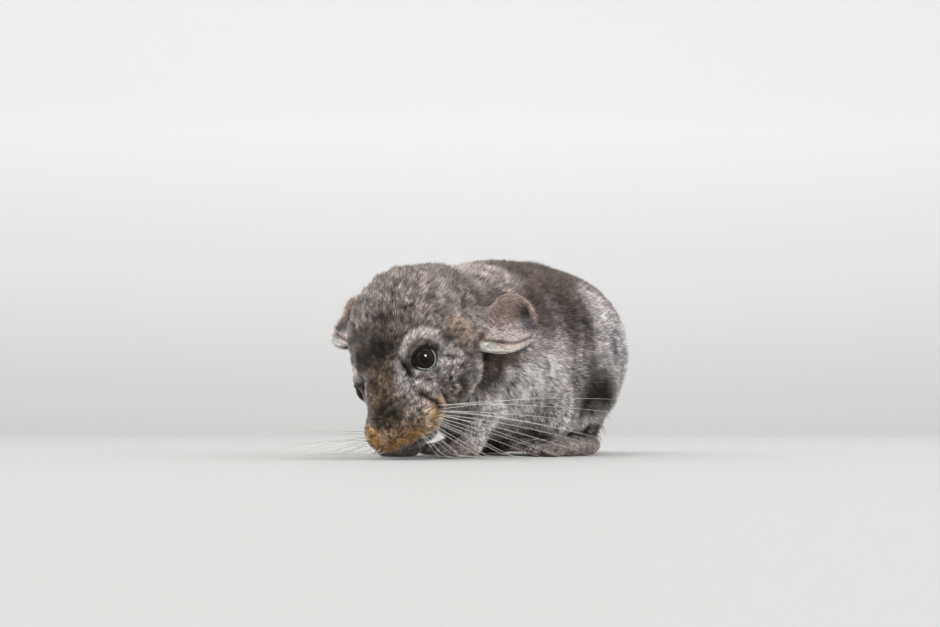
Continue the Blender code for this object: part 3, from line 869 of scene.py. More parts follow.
def flow(points, normals):
    """The lie of the coat: along the surface, from the nose back and down to the feet."""
    head, body = on_head(points), on_body(points)
    share = head_share(head)[:, None]
    side = np.sign(head[:, 0:1]) * np.minimum(np.abs(head[:, 0:1]) / 24, 1)
    lean = np.concatenate([0.35 * side, np.ones_like(side), -0.35 * np.ones_like(side)], 1)
    over_head = lean @ TURN.T
    low = step(46, 14, body[:, 2])[:, None]
    down = np.array((0, 0, -1.0))
    outward = np.concatenate([np.sign(body[:, 0:1]), np.zeros((len(body), 2))], 1)
    over_body = np.array((0, 1.0, 0)) + down * (0.35 + 0.9 * low) + outward * 0.15
    way = over_head * share + over_body * (1 - share)
    bend = np.stack([ripple(body, 24, seed) for seed in (31, 32, 33)], 1) * 0.22
    curl = np.stack([ripple(body, 5.5, seed) for seed in (34, 35, 36)], 1) * 0.16
    way = unit(way) + bend + curl
    way = way - normals * np.sum(way * normals, axis=1, keepdims=True)
    return unit(way)


def mesh_from(name, points, faces):
    """A mesh from an array of points and one of triangles."""
    mesh = bpy.data.meshes.new(name)
    mesh.vertices.add(len(points))
    mesh.vertices.foreach_set("co", points.astype(np.float32).ravel())
    mesh.loops.add(len(faces) * 3)
    mesh.loops.foreach_set("vertex_index", faces.astype(np.int32).ravel())
    mesh.polygons.add(len(faces))
    mesh.polygons.foreach_set("loop_start", np.arange(len(faces), dtype=np.int32) * 3)
    mesh.update(calc_edges=True)
    mesh.shade_smooth()
    return mesh


# A straight tuft has a three-sided root and a tip; a bent one has a second ring of three between them
STRAIGHT = {"faces": ((3, 1, 0), (3, 2, 1), (3, 0, 2), (0, 1, 2)), "along": (0, 0, 0, 1),
            "patch": ((-1, -1), (1, -1), (0, 0), (0, 1))}
BENT = {"faces": ((4, 1, 0), (3, 4, 0), (5, 2, 1), (4, 5, 1), (3, 0, 2), (5, 3, 2),
                  (6, 4, 3), (6, 5, 4), (6, 3, 5), (0, 1, 2)),
        "along": (0, 0, 0, 0.55, 0.55, 0.6, 1.0),
        "patch": ((-1, -1), (1, -1), (0, -1), (-1, 0), (1, 0), (0, 0), (0, 1))}


def tufts(name, roots, look, seed, kind):
    """One mesh of closed three-sided tufts. roots holds an array for each property of the tufts."""
    rng = np.random.default_rng(seed)
    place, normals, ways = roots["place"], roots["normal"], roots["way"]
    count = len(place)
    across = unit(np.cross(ways, normals))
    ways = unit(ways + across * rng.normal(0, 0.22, (count, 1)))
    across = unit(np.cross(ways, normals))
    steep = (roots["lift"] * rng.uniform(0.75, 1.2, count))[:, None]
    lengths = (roots["length"] * rng.uniform(0.7, 1.25, count))[:, None]
    widths = (roots["width"] * rng.uniform(0.75, 1.25, count))[:, None]
    rise = ways * np.cos(steep) + normals * np.sin(steep)
    ridge = unit(np.cross(across, rise))
    ridge *= np.sign(np.sum(ridge * normals, axis=1, keepdims=True))
    corners = (-across * 0.5, across * 0.5, ridge * 0.45)
    base = place - rise * 0.4 * MM
    if kind is STRAIGHT:
        found = [base + corner * widths for corner in corners]
        found.append(place + rise * lengths)
    else:
        flat = steep * 0.4
        over = ways * np.cos(flat) + normals * np.sin(flat)
        middle = place + rise * lengths * 0.5
        found = [base + corner * widths for corner in corners]
        found += [middle + corner * widths * 0.8 for corner in corners]
        found.append(middle + over * lengths * 0.5)
    points = np.stack(found, 1).reshape(-1, 3)
    points[:, 2] = np.maximum(points[:, 2], FLOOR_GAP)
    each = len(found)
    faces = (np.arange(count)[:, None, None] * each + np.array(kind["faces"])[None]).reshape(-1, 3)
    mesh = mesh_from(name, points, faces)
    add_attribute(mesh, "tint", "FLOAT_COLOR", np.repeat(with_alpha(roots["tint"]), each, axis=0))
    add_attribute(mesh, "root", "FLOAT_VECTOR", np.repeat(place, each, axis=0))
    add_attribute(mesh, "along", "FLOAT", np.tile(kind["along"], count))
    picks = 0.5 + (rng.random(count) - 0.5) * roots.get("vary", 1)
    add_attribute(mesh, "pick", "FLOAT", np.repeat(picks, each))
    spots = (roots["unwrap"][:, None, :] + 0.0015 * np.array(kind["patch"])[None]).reshape(-1, 2)
    layer = mesh.uv_layers.new(name="OFBake")
    layer.data.foreach_set("uv", np.clip(spots, 0, 1)[faces.ravel()].astype(np.float32).ravel())
    soft = unit(np.repeat(normals, each, axis=0) + vertex_normals(mesh) * 0.7)
    mesh.normals_split_custom_set_from_vertices(soft.astype(np.float32))
    made = new_object(name, mesh, look)
    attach(made, "root")
    return made


class CHINCHILLA_OT_coat(bpy.types.Operator):
    """The plush coat, in tufts that lie back from the nose and down to the feet"""

    bl_idname = "chinchilla.coat"
    bl_label = "Coat"

    def execute(self, context):
        sizes = context.scene.chinchilla_sizes
        ground = Ground()
        look = fur_material("plush", "root", "along", "pick")

        def density(points):
            head, body = on_head(points), on_body(points)
            share = head_share(head)
            found = sizes.face_tufts * share + sizes.body_tufts * (1 - share)
            foot = foot_share(body)
            found = found * (1 - foot) + 9.0 * foot
            found = found * (1 - tail_share(body))
            found = found * (1 - 0.75 * nearness(head, NOSE_PLACE, (4, 3, 4), 0.2))
            return found * np.where(eye_gap(head) < 10, step(1.15, 1.3, eye_ring(head)), 1)

        places, normals, unwrap = ground.scatter(density, SEED)
        depth = coat_depth(places)
        share = head_share(on_head(places))
        ruffle = step(1, 6, line_gap(folded(on_head(places)), BROW))
        lift = np.radians(60) * (1 - share) + np.radians(38) * share
        roots = {
            "place": places, "normal": normals, "unwrap": unwrap, "way": flow(places, normals),
            "lift": lift, "length": (depth * 0.92 + 0.3) / np.sin(lift) * MM,
            "width": np.interp(depth, (0.4, 1.2, 3.0), (0.5, 0.68, 0.95)) * sizes.hair_width,
            "tint": tint(places, normals), "vary": 0.4 + 0.6 * share * ruffle,
        }
        on_face = np.nonzero(share > 0.5)[0]
        on_trunk = np.nonzero(share <= 0.5)[0]
        parts = (
            (("muzzle", "cheeks", "brow", "crown"), on_face[np.argsort(places[on_face, 1])]),
            (("neck", "shoulders", "ribs", "loin", "rump"), on_trunk[np.argsort(places[on_trunk, 1])]),
        )
        seed = SEED
        for names, order in parts:
            for name, chosen in zip(names, np.array_split(order, len(names))):
                seed += 1
                part = {key: value[chosen] for key, value in roots.items()}
                tufts(f"coat_{name}", part, look, seed, STRAIGHT)
        return {"FINISHED"}


class CHINCHILLA_OT_tail(bpy.types.Operator):
    """The bushy tail, in long bristly tufts that lie towards its tip"""

    bl_idname = "chinchilla.tail"
    bl_label = "Tail"

    def execute(self, context):
        rng = np.random.default_rng(SEED + 90)
        count = context.scene.chinchilla_sizes.tail_tufts
        line = np.array(curve_through(TAIL_LINE, 12))
        t = np.sort(rng.random(count) ** 0.9)
        where = t * (len(line) - 1)
        low = np.minimum(where.astype(int), len(line) - 2)
        share = (where - low)[:, None]
        middle = line[low] * (1 - share) + line[low + 1] * share
        ahead = unit(line[np.minimum(low + 2, len(line) - 1)] - line[np.maximum(low - 1, 0)])
        side = unit(np.cross(ahead, (0, 0, 1.0)))
        up = np.cross(side, ahead)
        angle = rng.uniform(0, 2 * math.pi, count)[:, None]
        out = side * np.cos(angle) + up * np.sin(angle)
        knots = np.linspace(0, 1, len(TAIL_RADII))
        radius = np.interp(t, knots, TAIL_RADII)
        reach = np.interp(t, knots, TAIL_REACH) - radius
        place = middle + out * radius[:, None] * 0.97
        place[:, 2] = np.maximum(place[:, 2], 0.6)
        place = np.array(BODY_ORIGIN) + place * MM
        lift = np.radians(rng.uniform(20, 40, count))
        colour = blend(np.tile(srgb(*COAT["tail_under"]), (count, 1)), "tail_top", step(-0.1, 0.7, out[:, 2]))
        streak = (0.8 + 0.4 * rng.random(count))[:, None]
        roots = {
            "place": place, "normal": out, "way": unit(ahead + 0.15 * rng.normal(size=(count, 3))),
            "lift": lift, "length": reach * 0.95 / np.sin(lift) * 0.9 * MM,
            "width": np.full(count, 0.9 * MM), "unwrap": np.stack([t, angle[:, 0] / (2 * math.pi)], 1),
            "tint": colour * streak,
        }
        look = fur_material("bristle", "root", "along", "pick")
        tufts("tail_coat", roots, look, SEED + 91, BENT)
        return {"FINISHED"}


# The lids' section: how far past the opening's edge, in degrees, and how far from the eye's middle
LID_PROFILE = ((-2, 6.1), (0, 6.45), (3, 6.8), (6, 6.9), (9, 6.75), (12, 6.3), (15, 5.7), (8, 5.2))
LID_STEPS = 72
LID_GLINT = (1.0, 0.9, 0.1)  # how strongly the painted reflection along the lower lid covers the first places of the section, under the eye
GLINT_COLOUR = (158, 160, 164)
PUPIL = (0.0015, 0.0012, 0.001)
EYE_EDGE = (0.003, 0.002, 0.002)


class CHINCHILLA_OT_eyes(bpy.types.Operator):
    """Two glossy dark eyes and the bare lids round them"""

    bl_idname = "chinchilla.eyes"
    bl_label = "Eyes"

    def execute(self, context):
        colours = context.scene.chinchilla_colours
        eye_look, tree, shader = material("wet_eye", 0.02, 0.13)
        ramp = node(tree, "ShaderNodeValToRGB")
        stops = ramp.color_ramp.elements
        stops[0].position, stops[0].color = 0.30, (*PUPIL, 1)
        stops[1].position, stops[1].color = 0.72, (*EYE_EDGE, 1)
        stops.new(0.45).color = (*colours.eye, 1)
        tree.links.new(read(tree, "ring", "Fac"), ramp.inputs["Fac"])
        tree.links.new(ramp.outputs["Color"], shader.inputs["Base Color"])
        lid_look, tree, shader = material("bare_lid", 0.5, 0.12)
        tree.links.new(read(tree, "tint"), shader.inputs["Base Color"])
        roughen(tree, shader, noise(tree, object_place(tree), 900, 3), 0.4, 0.3 * MM)
        for side, word in ((1, "left"), (-1, "right")):
            centre = Vector((side * EYE_SEAT.x, EYE_SEAT.y, EYE_SEAT.z))
            self.ball(word, centre, eye_axes(side), eye_look)
            self.lids(word, centre, eye_axes(side), lid_look, np.array(colours.lid))
        return {"FINISHED"}

    def ball(self, word, centre, axes, look):
        """The eyeball, with each point's angle from the middle of its pupil."""
        bm = bmesh.new()
        place = Matrix.LocRotScale(from_head(centre), HEAD_TURN, Vector((1, 1, 1)) * (EYE_RADIUS - 0.05) * MM)
        turn = axes[0].to_track_quat("Z", "Y").to_matrix().to_4x4()
        bmesh.ops.create_uvsphere(bm, u_segments=64, v_segments=48, radius=1, matrix=place @ turn)
        eye = object_from(f"eye_ball_{word}", bm, look)
        away = unit(on_head(coordinates(eye.data)) - np.array(centre)) @ np.array(axes[0])
        add_attribute(eye.data, "ring", "FLOAT", np.arccos(np.clip(away, -1, 1)) / 1.2)
        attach(eye, "root")
        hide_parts(f"eye_{word}")

    def lids(self, word, centre, axes, look, dark):
        """A rolled rim round the opening, from just inside the eyeball out to under the fur, with a pale
        painted reflection along its lower edge.
        """
        aim, inner, over = axes
        glint_colour = srgb(*GLINT_COLOUR)
        bm = bmesh.new()
        shade = bm.verts.layers.float_color.new("tint")
        for vert, k, i in sheet(bm, LID_STEPS, len(LID_PROFILE)):
            i %= len(LID_PROFILE)
            past, radius = LID_PROFILE[i]
            angle = 2 * math.pi * (k % LID_STEPS) / LID_STEPS
            level, rise = math.cos(angle), math.sin(angle)
            open_by = 34 + 15 * level**2 + 15 * max(0, -rise) ** 2 + 6 * max(0, level) ** 12
            thick = 1 + 0.05 * max(0, rise) if past > 0 else 1
            spread_by = math.radians(open_by + past * (1.1 + 0.3 * rise))
            away = aim * math.cos(spread_by) + (inner * level + over * rise) * math.sin(spread_by)
            vert.co = from_head(centre + away * radius * thick)
            # a pale painted reflection along the lower, outer edge of the lid
            glint_mask = float(step(0.4, 0.05, rise) * step(1.0, 0.85, level))
            glint = glint_mask * LID_GLINT[i] if i < len(LID_GLINT) else 0
            vert[shade] = (*(dark * (1 - glint) + glint_colour * glint), 1)
        close_up(bm)
        lid = object_from(f"lids_{word}", bm, look)
        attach(lid, "root")


def ear_rim(angle):
    """How far the ear's edge lies from its middle: a rounded square with a dip in its front edge."""
    square = (abs(math.sin(angle)) ** 2.5 + abs(math.cos(angle)) ** 2.5) ** (-1 / 2.5)
    dip = 0.32 * math.exp(-(((angle - 4.84) / 0.3) ** 2))
    lobe = 0.06 * math.exp(-(((angle - 5.4) / 0.22) ** 2))
    return square * (0.97 - dip + lobe)


class Ear:
    """The cup of one ear as a surface of angle, share of the way to the rim, and height over it."""

    def __init__(self, word):
        root, aim, opening = EARS[word]
        self.aim = Vector(aim).normalized()
        opening = Vector(opening)
        self.opening = (opening - self.aim * self.aim.dot(opening)).normalized()
        self.across = self.aim.cross(self.opening) * math.copysign(1, root[0])
        self.middle = Vector(root) + self.aim * (EAR_LENGTH * 0.46)

    def spot(self, angle, r, lift):
        """A place on the cup, with its ridges, its rolled rim and the hollow at its root."""
        along = -math.cos(angle)
        reach = r * ear_rim(angle)
        narrow = 0.66 + 0.34 * min(1, max(0, (along * r + 1.0) / 1.1))
        x = math.sin(angle) * reach * EAR_WIDTH / 2 * narrow
        y = along * reach * EAR_LENGTH * 0.54
        cup = -EAR_DEPTH * (1 - r * r)
        roll = 3.5 * math.exp(-(((angle - 3.9) / 0.6) ** 2)) * r**4
        flare = 1.0 * math.sin(3 * angle) * r**3
        root = max(0, -along * r - 0.35) * 8
        ridge = 0.55 * math.sin(8 * angle + 0.6) * 4 * r * max(0, 0.9 - r)
        lip = 3.4 * math.exp(-(((angle - 1.6) / 0.8) ** 2)) * r**6
        lip += 1.4 * math.exp(-(((angle - 4.1) / 0.4) ** 2)) * r**8
        canal = 3.0 * math.exp(-(((x / EAR_WIDTH - 0.09) / 0.11) ** 2 + ((y / EAR_LENGTH + 0.2) / 0.1) ** 2))
        high = cup + roll + flare - root + ridge + lip - canal + lift
        return self.middle + self.aim * y + self.across * x + self.opening * high


# Colours inside the ear: colour, place along it from root to tip and across it from top to bottom,
# size and strength
EAR_MARKS = (
    ((150, 118, 98), (0.25, -0.55), 0.5, 0.6),
    # painted shade in the hollow under the rolled upper rim
    ((30, 21, 13), (0.86, -0.34), 0.38, 0.97),
    ((76, 78, 88), (0.90, 0.14), 0.28, 0.9),
    ((226, 216, 210), (-0.45, -0.15), 0.28, 0.8),
    ((136, 80, 36), (-0.36, 0.24), 0.2, 0.95),
    ((30, 20, 12), (-0.58, 0.26), 0.12, 0.95),
    ((240, 230, 218), (-0.18, 0.68), 0.34, 0.85),
    ((236, 222, 208), (0.30, 0.82), 0.30, 0.8),
    # painted shade along the lower fold
    ((78, 60, 52), (0.12, 0.46), 0.17, 0.7),
)
EAR_INSIDE = (236, 220, 216)
EAR_RIM = (232, 204, 190)
EAR_BACK = (104, 92, 84)
EAR_BACK_HAIR = (124, 112, 104)

# The painted shadow over the lower lip of the ear, where its fold shades it, as a line in the same places
EAR_FOLD_SHADOW_LINE = ((-0.22, 0.36, 0), (0.1, 0.46, 0), (0.45, 0.56, 0), (0.75, 0.5, 0))
EAR_FOLD_SHADOW_COLOUR = (64, 48, 42)


def ear_tint(place):
    """Colour of the front of an ear at places on it: along it, across it, and share of the way to its rim,
    with painted shade in its hollows and a painted shadow under its lower fold.
    """
    along, across, r = place.T
    colour = np.tile(srgb(*EAR_INSIDE), (len(place), 1))
    for shade, (u, v), size, strength in EAR_MARKS:
        share = strength * np.exp(-(np.hypot(along - u, across - v) / size) ** 3)[:, None]
        colour = colour * (1 - share) + srgb(*shade) * share
    # painted shadow under the lower fold
    fold = 0.8 * stroke(place * (1, 1, 0), EAR_FOLD_SHADOW_LINE, 0.06)[:, None]
    colour = colour * (1 - fold) + srgb(*EAR_FOLD_SHADOW_COLOUR) * fold
    rim = (0.95 * step(0.88, 0.95, r) * step(0.3, -0.3, across))[:, None]
    return colour * (1 - rim) + srgb(*EAR_RIM) * rim


def ear_place(angle, r):
    """A place on an ear as ear_tint reads it."""
    return -math.cos(angle) * r, math.sin(angle) * r, r


def ear_material():
    """Thin skin with fine lines that run out from its root."""
    look, tree, shader = material("ear_skin", 0.6, 0.25)
    shader.inputs["Subsurface Weight"].default_value = 0.12
    shader.inputs["Subsurface Radius"].default_value = (2 * MM, 0.8 * MM, 0.5 * MM)
    lay = node(tree, "ShaderNodeMapping", Rotation=(0.0, 0.0, -0.6), Scale=(3.0, 26.0, 1.0))
    tree.links.new(read(tree, "ear_place", "Vector"), lay.inputs["Vector"])
    lines = noise(tree, lay.outputs[0], 1, 4, 0.65)
    streak = spread(tree, lines, 0.35, 0.65, 0.72, 1.25)
    tree.links.new(scaled(tree, read(tree, "tint"), streak), shader.inputs["Base Color"])
    roughen(tree, shader, lines, 0.5, 0.3 * MM)
    return look


# Ear hair: how many, 1 for the back of the ear, where it starts and ends on the way to the rim, length,
# lift in degrees and width
EAR_HAIR = (
    (2600, 1, 0.2, 1.0, 2.6, 25, 0.32),
    (1500, 0, 0.9, 1.0, 2.2, 30, 0.26),
    (2200, 0, 0.1, 0.92, 2.6, 18, 0.20),
)
EAR_COLUMNS = 112
EAR_ROWS = 26


class CHINCHILLA_OT_ears(bpy.types.Operator):
    """Two thin cupped ears, folded inside and fringed with fine hair"""

    bl_idname = "chinchilla.ears"
    bl_label = "Ears"

    def execute(self, context):
        look = ear_material()
        hair = fur_material("ear_hair", "root", "along", "pick")
        for seed, word in enumerate(("left", "right")):
            ear = Ear(word)
            self.cup(word, ear, look)
            self.fringe(word, ear, hair, seed)
        return {"FINISHED"}

    def cup(self, word, ear, look):
        """The cup as one sheet that runs from the middle of its front over the rim to that of its back."""
        rows = [(i / EAR_ROWS, 0) for i in range(EAR_ROWS + 1)]
        rows += [(r, 1) for r, _ in rows[::-1]]
        bm = bmesh.new()
        spot = bm.verts.layers.float_vector.new("ear_place")
        behind = bm.verts.layers.float.new("behind")
        for vert, k, row in sheet(bm, EAR_COLUMNS, len(rows) - 1):
            angle = 2 * math.pi * (k % EAR_COLUMNS) / EAR_COLUMNS
            r, back = rows[row]
            vert.co = from_head(ear.spot(angle, r, -back * (1.1 - 0.6 * r**4)))
            vert[spot] = ear_place(angle, r)
            vert[behind] = back
        close_up(bm)
        made = object_from(f"ear_cup_{word}", bm, look)
        count = len(made.data.vertices)
        places, backs = np.empty((count, 3)), np.empty((count, 1))
        made.data.attributes["ear_place"].data.foreach_get("vector", places.ravel())
        made.data.attributes["behind"].data.foreach_get("value", backs.ravel())
        colours = ear_tint(places) * (1 - backs) + srgb(*EAR_BACK) * backs
        add_attribute(made.data, "tint", "FLOAT_COLOR", with_alpha(colours))
        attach(made, "root")
        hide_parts(f"ear_{word}")

    def fringe(self, word, ear, look, seed):
        """Short hair over the back of the ear, a fringe on its rim and fine lines of hair inside."""
        rng = np.random.default_rng(SEED + 70 + seed)
        rows = []
        for count, back, inner, outer, length, lift, width in EAR_HAIR:
            for _ in range(count):
                angle = rng.uniform(0, 2 * math.pi)
                r = math.sqrt(rng.uniform(inner**2, outer**2))
                here = ear.spot(angle, r, -back)
                outward = (ear.spot(angle, r + 0.04, -back) - here).normalized()
                round_it = (ear.spot(angle + 0.05, r, -back) - here).normalized()
                normal = outward.cross(round_it).normalized()
                if normal.dot(ear.opening) * (1 - 2 * back) < 0:
                    normal = -normal
                way = ear.aim + ear.across * 0.55 if not back and r < 0.9 else outward + ear.aim * 0.4
                rows.append((*from_head(here), *(HEAD_TURN @ normal), *(HEAD_TURN @ way.normalized()),
                             *ear_place(angle, r), back, length * MM, math.radians(lift), width * MM))
        table = np.array(rows)
        places, back = table[:, 9:12], table[:, 12:13]
        inside = np.clip(ear_tint(places) * 1.25, 0, 0.85)
        roots = {
            "place": table[:, :3], "normal": table[:, 3:6], "way": table[:, 6:9],
            "length": table[:, 13], "lift": table[:, 14], "width": table[:, 15],
            "tint": inside * (1 - back) + srgb(*EAR_BACK_HAIR) * back,
            "unwrap": np.stack([0.25 + 0.5 * back[:, 0] - 0.22 * places[:, 0], 0.5 + 0.44 * places[:, 1]], 1),
        }
        tufts(f"ear_hair_{word}", roots, look, SEED + 80 + seed, STRAIGHT)


# Where the whiskers leave the edge of their pad, from the rearmost to the foremost
WHISKER_ROOTS = ((18.2, -42.4, -6.5), (16.6, -46.8, -5), (9, -51.2, -5.4))

# Whiskers as seen from the camera, from the top one down: angle on the picture in degrees, and length
WHISKER_FANS = {
    "left": ((10, 84), (0, 100), (-8, 98), (-16, 84), (-25, 68), (-37, 52), (-52, 38)),
    "right": ((172, 74), (181, 98), (189, 98), (198, 84), (209, 64), (224, 50), (244, 38)),
}


def whisker_paths(word, count, turn):
    """Curved lines that fan out from one whisker pad, as the camera sees them."""
    side = 1 if word == "left" else -1
    rng = np.random.default_rng(SEED + 50 + side)
    angles, lengths = np.array(WHISKER_FANS[word], float).T
    right = Vector((math.cos(turn), math.sin(turn), 0))
    away = Vector((-math.sin(turn), math.cos(turn), 0))
    paths = []
    for i in range(count):
        t = (i + 0.5 + rng.uniform(-0.4, 0.4)) / count
        along = np.linspace(0, 1, len(angles))
        angle = math.radians(float(np.interp(t, along, angles)) + rng.normal(0, 1.5))
        length = float(np.interp(t, along, lengths)) * rng.uniform(0.72, 1.0)
        depth = rng.uniform(-0.5, 0.25)
        spot = Vector(WHISKER_ROOTS[0]).lerp(Vector(WHISKER_ROOTS[1]), min(1, 2 * t))
        spot = spot.lerp(Vector(WHISKER_ROOTS[2]), max(0, 2 * t - 1))
        spot += Vector((-0.8, 0.9, 1.1)) * (i % 3) + Vector(rng.normal(0, 0.4, 3))
        start = from_head((side * spot.x, spot.y, spot.z))
        aim = right * math.cos(angle) + Vector((0, 0, math.sin(angle))) + away * depth
        aim.normalize()
        sag = rng.uniform(0.02, 0.14) * length
        path = []
        for k in range(11):
            share = k / 10
            point = start + aim * (length * share * MM) - Vector((0, 0, sag * share**2 * MM))
            point.z = max(point.z, 0.0008 + 0.002 * (1 - share))
            path.append(point)
        paths.append(path)
    return paths


def hair_tubes(name, paths, width, look, sides=5):
    """One mesh of tapered closed tubes along paths."""
    bm = bmesh.new()
    for path in paths:
        last = len(path) - 1
        for vert, j, k in sheet(bm, sides, last):
            way = (path[min(k + 1, last)] - path[max(k - 1, 0)]).normalized()
            across = way.orthogonal().normalized()
            angle = 2 * math.pi * (j % sides) / sides
            radius = width / 2 * (1 - 0.85 * k / last) if k < last else 0
            out = across * math.cos(angle) + way.cross(across) * math.sin(angle)
            vert.co = path[k] + out * radius
    close_up(bm)
    return object_from(name, bm, look)


def mottled_material(name, roughness, specular, scale, detail, first, second, bump=0.0):
    """Fine specks of two colours, for horn, bare skin and single hairs."""
    look, tree, shader = material(name, roughness, specular)
    specks = noise(tree, object_place(tree), scale, detail)
    tree.links.new(mixed(tree, specks, (*first, 1), (*second, 1)), shader.inputs["Base Color"])
    if bump:
        roughen(tree, shader, specks, bump, 0.2 * MM)
    return look


NOSE_DARK = (0.10, 0.066, 0.058)
NOSE_PALE = (0.20, 0.135, 0.12)
CLAW_DARK = (0.16, 0.12, 0.10)
CLAW_PALE = (0.36, 0.30, 0.26)


class CHINCHILLA_OT_nose(bpy.types.Operator):
    """The bare nose pad with its two comma-shaped nostrils"""

    bl_idname = "chinchilla.nose"
    bl_label = "Nose"

    def execute(self, context):
        bm = bmesh.new()
        bmesh.ops.create_uvsphere(bm, u_segments=72, v_segments=48, radius=1)
        for vert in bm.verts:
            x, y, z = vert.co
            sink = 0
            for k in range(9):
                t = k / 8
                spot = Vector((0.52 + 0.26 * math.sin(2.6 * t), 0, 0.34 - 0.62 * t))
                gap = math.hypot(abs(x) - spot.x, z - spot.z)
                sink = max(sink, math.exp(-((gap / 0.13) ** 2)))
            cleft = math.exp(-((x / 0.07) ** 2)) * step(0.3, -0.5, z)
            inward = 1 - 0.5 * sink * (y < 0) - 0.18 * cleft * (y < 0)
            vert.co = Vector((x * 4.3, y * 2.4 * inward, z * 3.3))
        place = Matrix.Translation(NOSE_PLACE * MM) @ Matrix.Rotation(math.radians(38), 4, "X")
        turn = Matrix.Translation(HEAD_ORIGIN) @ HEAD_TURN.to_4x4()
        bmesh.ops.transform(bm, verts=bm.verts, matrix=turn @ place @ Matrix.Scale(MM, 4))
        look = mottled_material("bare_nose", 0.45, 0.4, 1500, 3, NOSE_DARK, NOSE_PALE, 0.5)
        nose = object_from("nose_pad", bm, look)
        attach(nose, "root")
        return {"FINISHED"}


class CHINCHILLA_OT_claws(bpy.types.Operator):
    """Short blunt claws on the toes and fingers"""

    bl_idname = "chinchilla.claws"
    bl_label = "Claws"

    def execute(self, context):
        look = mottled_material("claw", 0.3, 0.5, 700, 2, CLAW_DARK, CLAW_PALE)
        bend = [(0.8 - 0.55 * k, 0.5 + 0.35 * math.sin(k / 2) - 0.09 * k * k) for k in range(6)]
        paths = [[from_body((side * x, y + forward, z + rise)) for forward, rise in bend]
                 for side in (1, -1) for x, y, z in (*HIND_TOES, *FORE_TOES)]
        claws = hair_tubes("claws", paths, 1.7 * MM, look, sides=8)
        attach(claws, "root")
        return {"FINISHED"}


class CHINCHILLA_OT_whiskers(bpy.types.Operator):
    """Long pale whiskers that fan out from both pads"""

    bl_idname = "chinchilla.whiskers"
    bl_label = "Whiskers"

    def execute(self, context):
        sizes = context.scene.chinchilla_sizes
        pale = Vector(context.scene.chinchilla_colours.whisker)
        look = mottled_material("whisker_hair", 0.35, 0.5, 120, 2, pale, 0.8 * pale)
        for word in ("left", "right"):
            paths = whisker_paths(word, sizes.whiskers, context.scene.chinchilla_stage.turn)
            hairs = hair_tubes(f"whiskers_{word}", paths, sizes.whisker_width, look)
            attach(hairs, "root")
            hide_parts(f"whisker_pad_{word}")
        return {"FINISHED"}


# The floor, from the near edge to the foot of the backdrop, which bends up from it
FLOOR_NEAR = -8.0
FLOOR_FAR = 1.6
FLOOR_HALF = 9.0
BACKDROP_TOP = 5.0
BACKDROP_BEND = 0.8
BACKDROP_FADE = 0.7  # height at which the floor's darker colour, painted shade that offsets the stronger lamp light on the floor, has become the backdrop's

# Lamps: place to the camera's right, away from it and up, then size, power and colour
LAMPS = {
    "key": ((-0.9, -1.3, 1.7), 1.2, 9.0, (1.0, 0.99, 0.97)),
    "fill": ((1.5, -0.9, 1.0), 1.4, 6.0, (0.97, 0.98, 1.0)),
    "back": ((0.4, 0.5, 1.6), 1.2, 3.0, (1.0, 1.0, 1.0)),
    "catch_left": ((0.34, -0.58, 0.42), 0.17, 11.0, (1.0, 1.0, 1.0)),
    "catch_right": ((-0.80, 0.27, 0.06), 0.2, 11.0, (1.0, 1.0, 1.0)),
}
LAMP_TARGET = Vector((0, 0, 0.04))


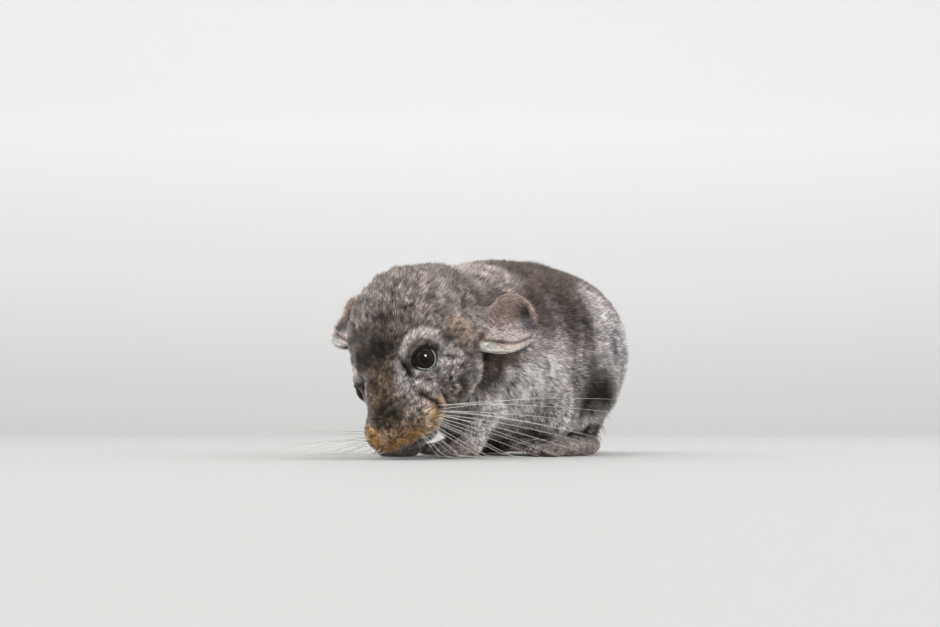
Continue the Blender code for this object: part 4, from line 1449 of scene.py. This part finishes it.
class CHINCHILLA_OT_stage(bpy.types.Operator):
    """A pale floor that runs up into its backdrop, soft lights and the camera"""

    bl_idname = "chinchilla.stage"
    bl_label = "Stage"

    def execute(self, context):
        stage = context.scene.chinchilla_stage
        right = Vector((math.cos(stage.turn), math.sin(stage.turn), 0))
        away = Vector((-math.sin(stage.turn), math.cos(stage.turn), 0))
        middle = Vector((BODY_ORIGIN.x, BODY_ORIGIN.y, 0))
        self.floor(context.scene.chinchilla_colours, right, away)
        self.camera(context.scene, stage, middle, right, away)
        self.lamps(context.scene, middle, right, away)
        world = bpy.data.worlds.new("room_light")
        world.use_nodes = True
        world.node_tree.nodes["Background"].inputs["Color"].default_value = (1, 1, 1, 1)
        world.node_tree.nodes["Background"].inputs["Strength"].default_value = 1.0
        context.scene.world = world
        context.scene.view_settings.view_transform = "Standard"
        return {"FINISHED"}

    def floor(self, colours, right, away):
        """The floor and its backdrop in one sheet."""
        look, tree, shader = material("pale_floor", 0.7, 0.3)
        parts = node(tree, "ShaderNodeSeparateXYZ")
        tree.links.new(object_place(tree), parts.inputs[0])
        # painted shade: the floor is coloured darker than the backdrop, so that under the lamps both look
        # about equally bright
        rise = spread(tree, parts.outputs["Z"], 0.0, BACKDROP_FADE, 0.0, 1.0)
        pale = mixed(tree, rise, (*colours.ground, 1), (*colours.backdrop, 1))
        tree.links.new(pale, shader.inputs["Base Color"])
        outline = [(FLOOR_NEAR, 0.0), (FLOOR_FAR, 0.0)]
        outline += [(FLOOR_FAR + BACKDROP_BEND * math.sin(a), BACKDROP_BEND * (1 - math.cos(a)))
                    for a in (math.pi / 2 * k / 12 for k in range(1, 13))]
        outline.append((FLOOR_FAR + BACKDROP_BEND, BACKDROP_TOP))
        bm = bmesh.new()
        verts = [bm.verts.new(away * v - right * FLOOR_HALF + Vector((0, 0, z))) for v, z in outline]
        edges = [bm.edges.new(pair) for pair in zip(verts, verts[1:])]
        copied = bmesh.ops.extrude_edge_only(bm, edges=edges)["geom"]
        far_side = [item for item in copied if isinstance(item, bmesh.types.BMVert)]
        bmesh.ops.translate(bm, verts=far_side, vec=right * 2 * FLOOR_HALF)
        bmesh.ops.recalc_face_normals(bm, faces=bm.faces)
        floor = object_from("floor", bm, look)

    def camera(self, scene, stage, middle, right, away):
        """The camera, low on the animal's left front and tipped up a little."""
        lens = bpy.data.cameras.new("camera")
        lens.lens = stage.lens
        lens.sensor_width = 36
        lens.clip_start = 0.01
        camera = bpy.data.objects.new("camera", lens)
        camera.location = middle - right * stage.aside - away * stage.distance + Vector((0, 0, stage.height))
        look_along = away * math.cos(stage.tilt) + Vector((0, 0, math.sin(stage.tilt)))
        camera.rotation_euler = look_along.to_track_quat("-Z", "Y").to_euler()
        scene.collection.objects.link(camera)
        scene.camera = camera

    def lamps(self, scene, middle, right, away):
        """Soft lamps, and a small one for each eye that lights nothing else."""
        eyes = bpy.data.collections.new("lit_by_catch")
        for word in ("left", "right"):
            eyes.objects.link(bpy.data.objects[f"eye_ball_{word}"])
        for name, (place, size, power, colour) in LAMPS.items():
            lamp = bpy.data.lights.new(name, "AREA")
            lamp.size = size
            lamp.energy = power
            lamp.color = colour
            made = bpy.data.objects.new(name, lamp)
            made.location = middle + right * place[0] + away * place[1] + Vector((0, 0, place[2]))
            target = middle + LAMP_TARGET
            made.rotation_euler = (target - made.location).to_track_quat("-Z", "Y").to_euler()
            scene.collection.objects.link(made)
            if name.startswith("catch"):
                made.light_linking.receiver_collection = eyes


OPERATORS = (CHINCHILLA_OT_skin, CHINCHILLA_OT_eyes, CHINCHILLA_OT_ears, CHINCHILLA_OT_nose,
             CHINCHILLA_OT_claws, CHINCHILLA_OT_coat, CHINCHILLA_OT_tail, CHINCHILLA_OT_whiskers,
             CHINCHILLA_OT_stage)


class CHINCHILLA_PT_pieces(bpy.types.Panel):
    """Lists the sizes, colours and pieces of the chinchilla"""

    bl_idname = "CHINCHILLA_PT_pieces"
    bl_label = "Chinchilla"
    bl_space_type = "VIEW_3D"
    bl_region_type = "UI"
    bl_category = "Chinchilla"

    def draw(self, context):
        for group in (context.scene.chinchilla_sizes, context.scene.chinchilla_colours,
                      context.scene.chinchilla_stage):
            for key in group.__annotations__:
                self.layout.prop(group, key)
        for operator in OPERATORS:
            self.layout.operator(operator.bl_idname)


GROUPS = {"chinchilla_sizes": Sizes, "chinchilla_colours": Colours, "chinchilla_stage": Stage}


def register():
    for kind in (*GROUPS.values(), *OPERATORS, CHINCHILLA_PT_pieces):
        bpy.utils.register_class(kind)
    for key, kind in GROUPS.items():
        setattr(bpy.types.Scene, key, PointerProperty(type=kind))


def unregister():
    for key in GROUPS:
        delattr(bpy.types.Scene, key)
    for kind in reversed((*GROUPS.values(), *OPERATORS, CHINCHILLA_PT_pieces)):
        bpy.utils.unregister_class(kind)


def main():
    register()
    bpy.ops.chinchilla.skin()
    bpy.ops.chinchilla.eyes()
    bpy.ops.chinchilla.ears()
    bpy.ops.chinchilla.nose()
    bpy.ops.chinchilla.claws()
    bpy.ops.chinchilla.coat()
    bpy.ops.chinchilla.tail()
    bpy.ops.chinchilla.whiskers()
    bpy.ops.chinchilla.stage()


if __name__ == "__main__":
    main()
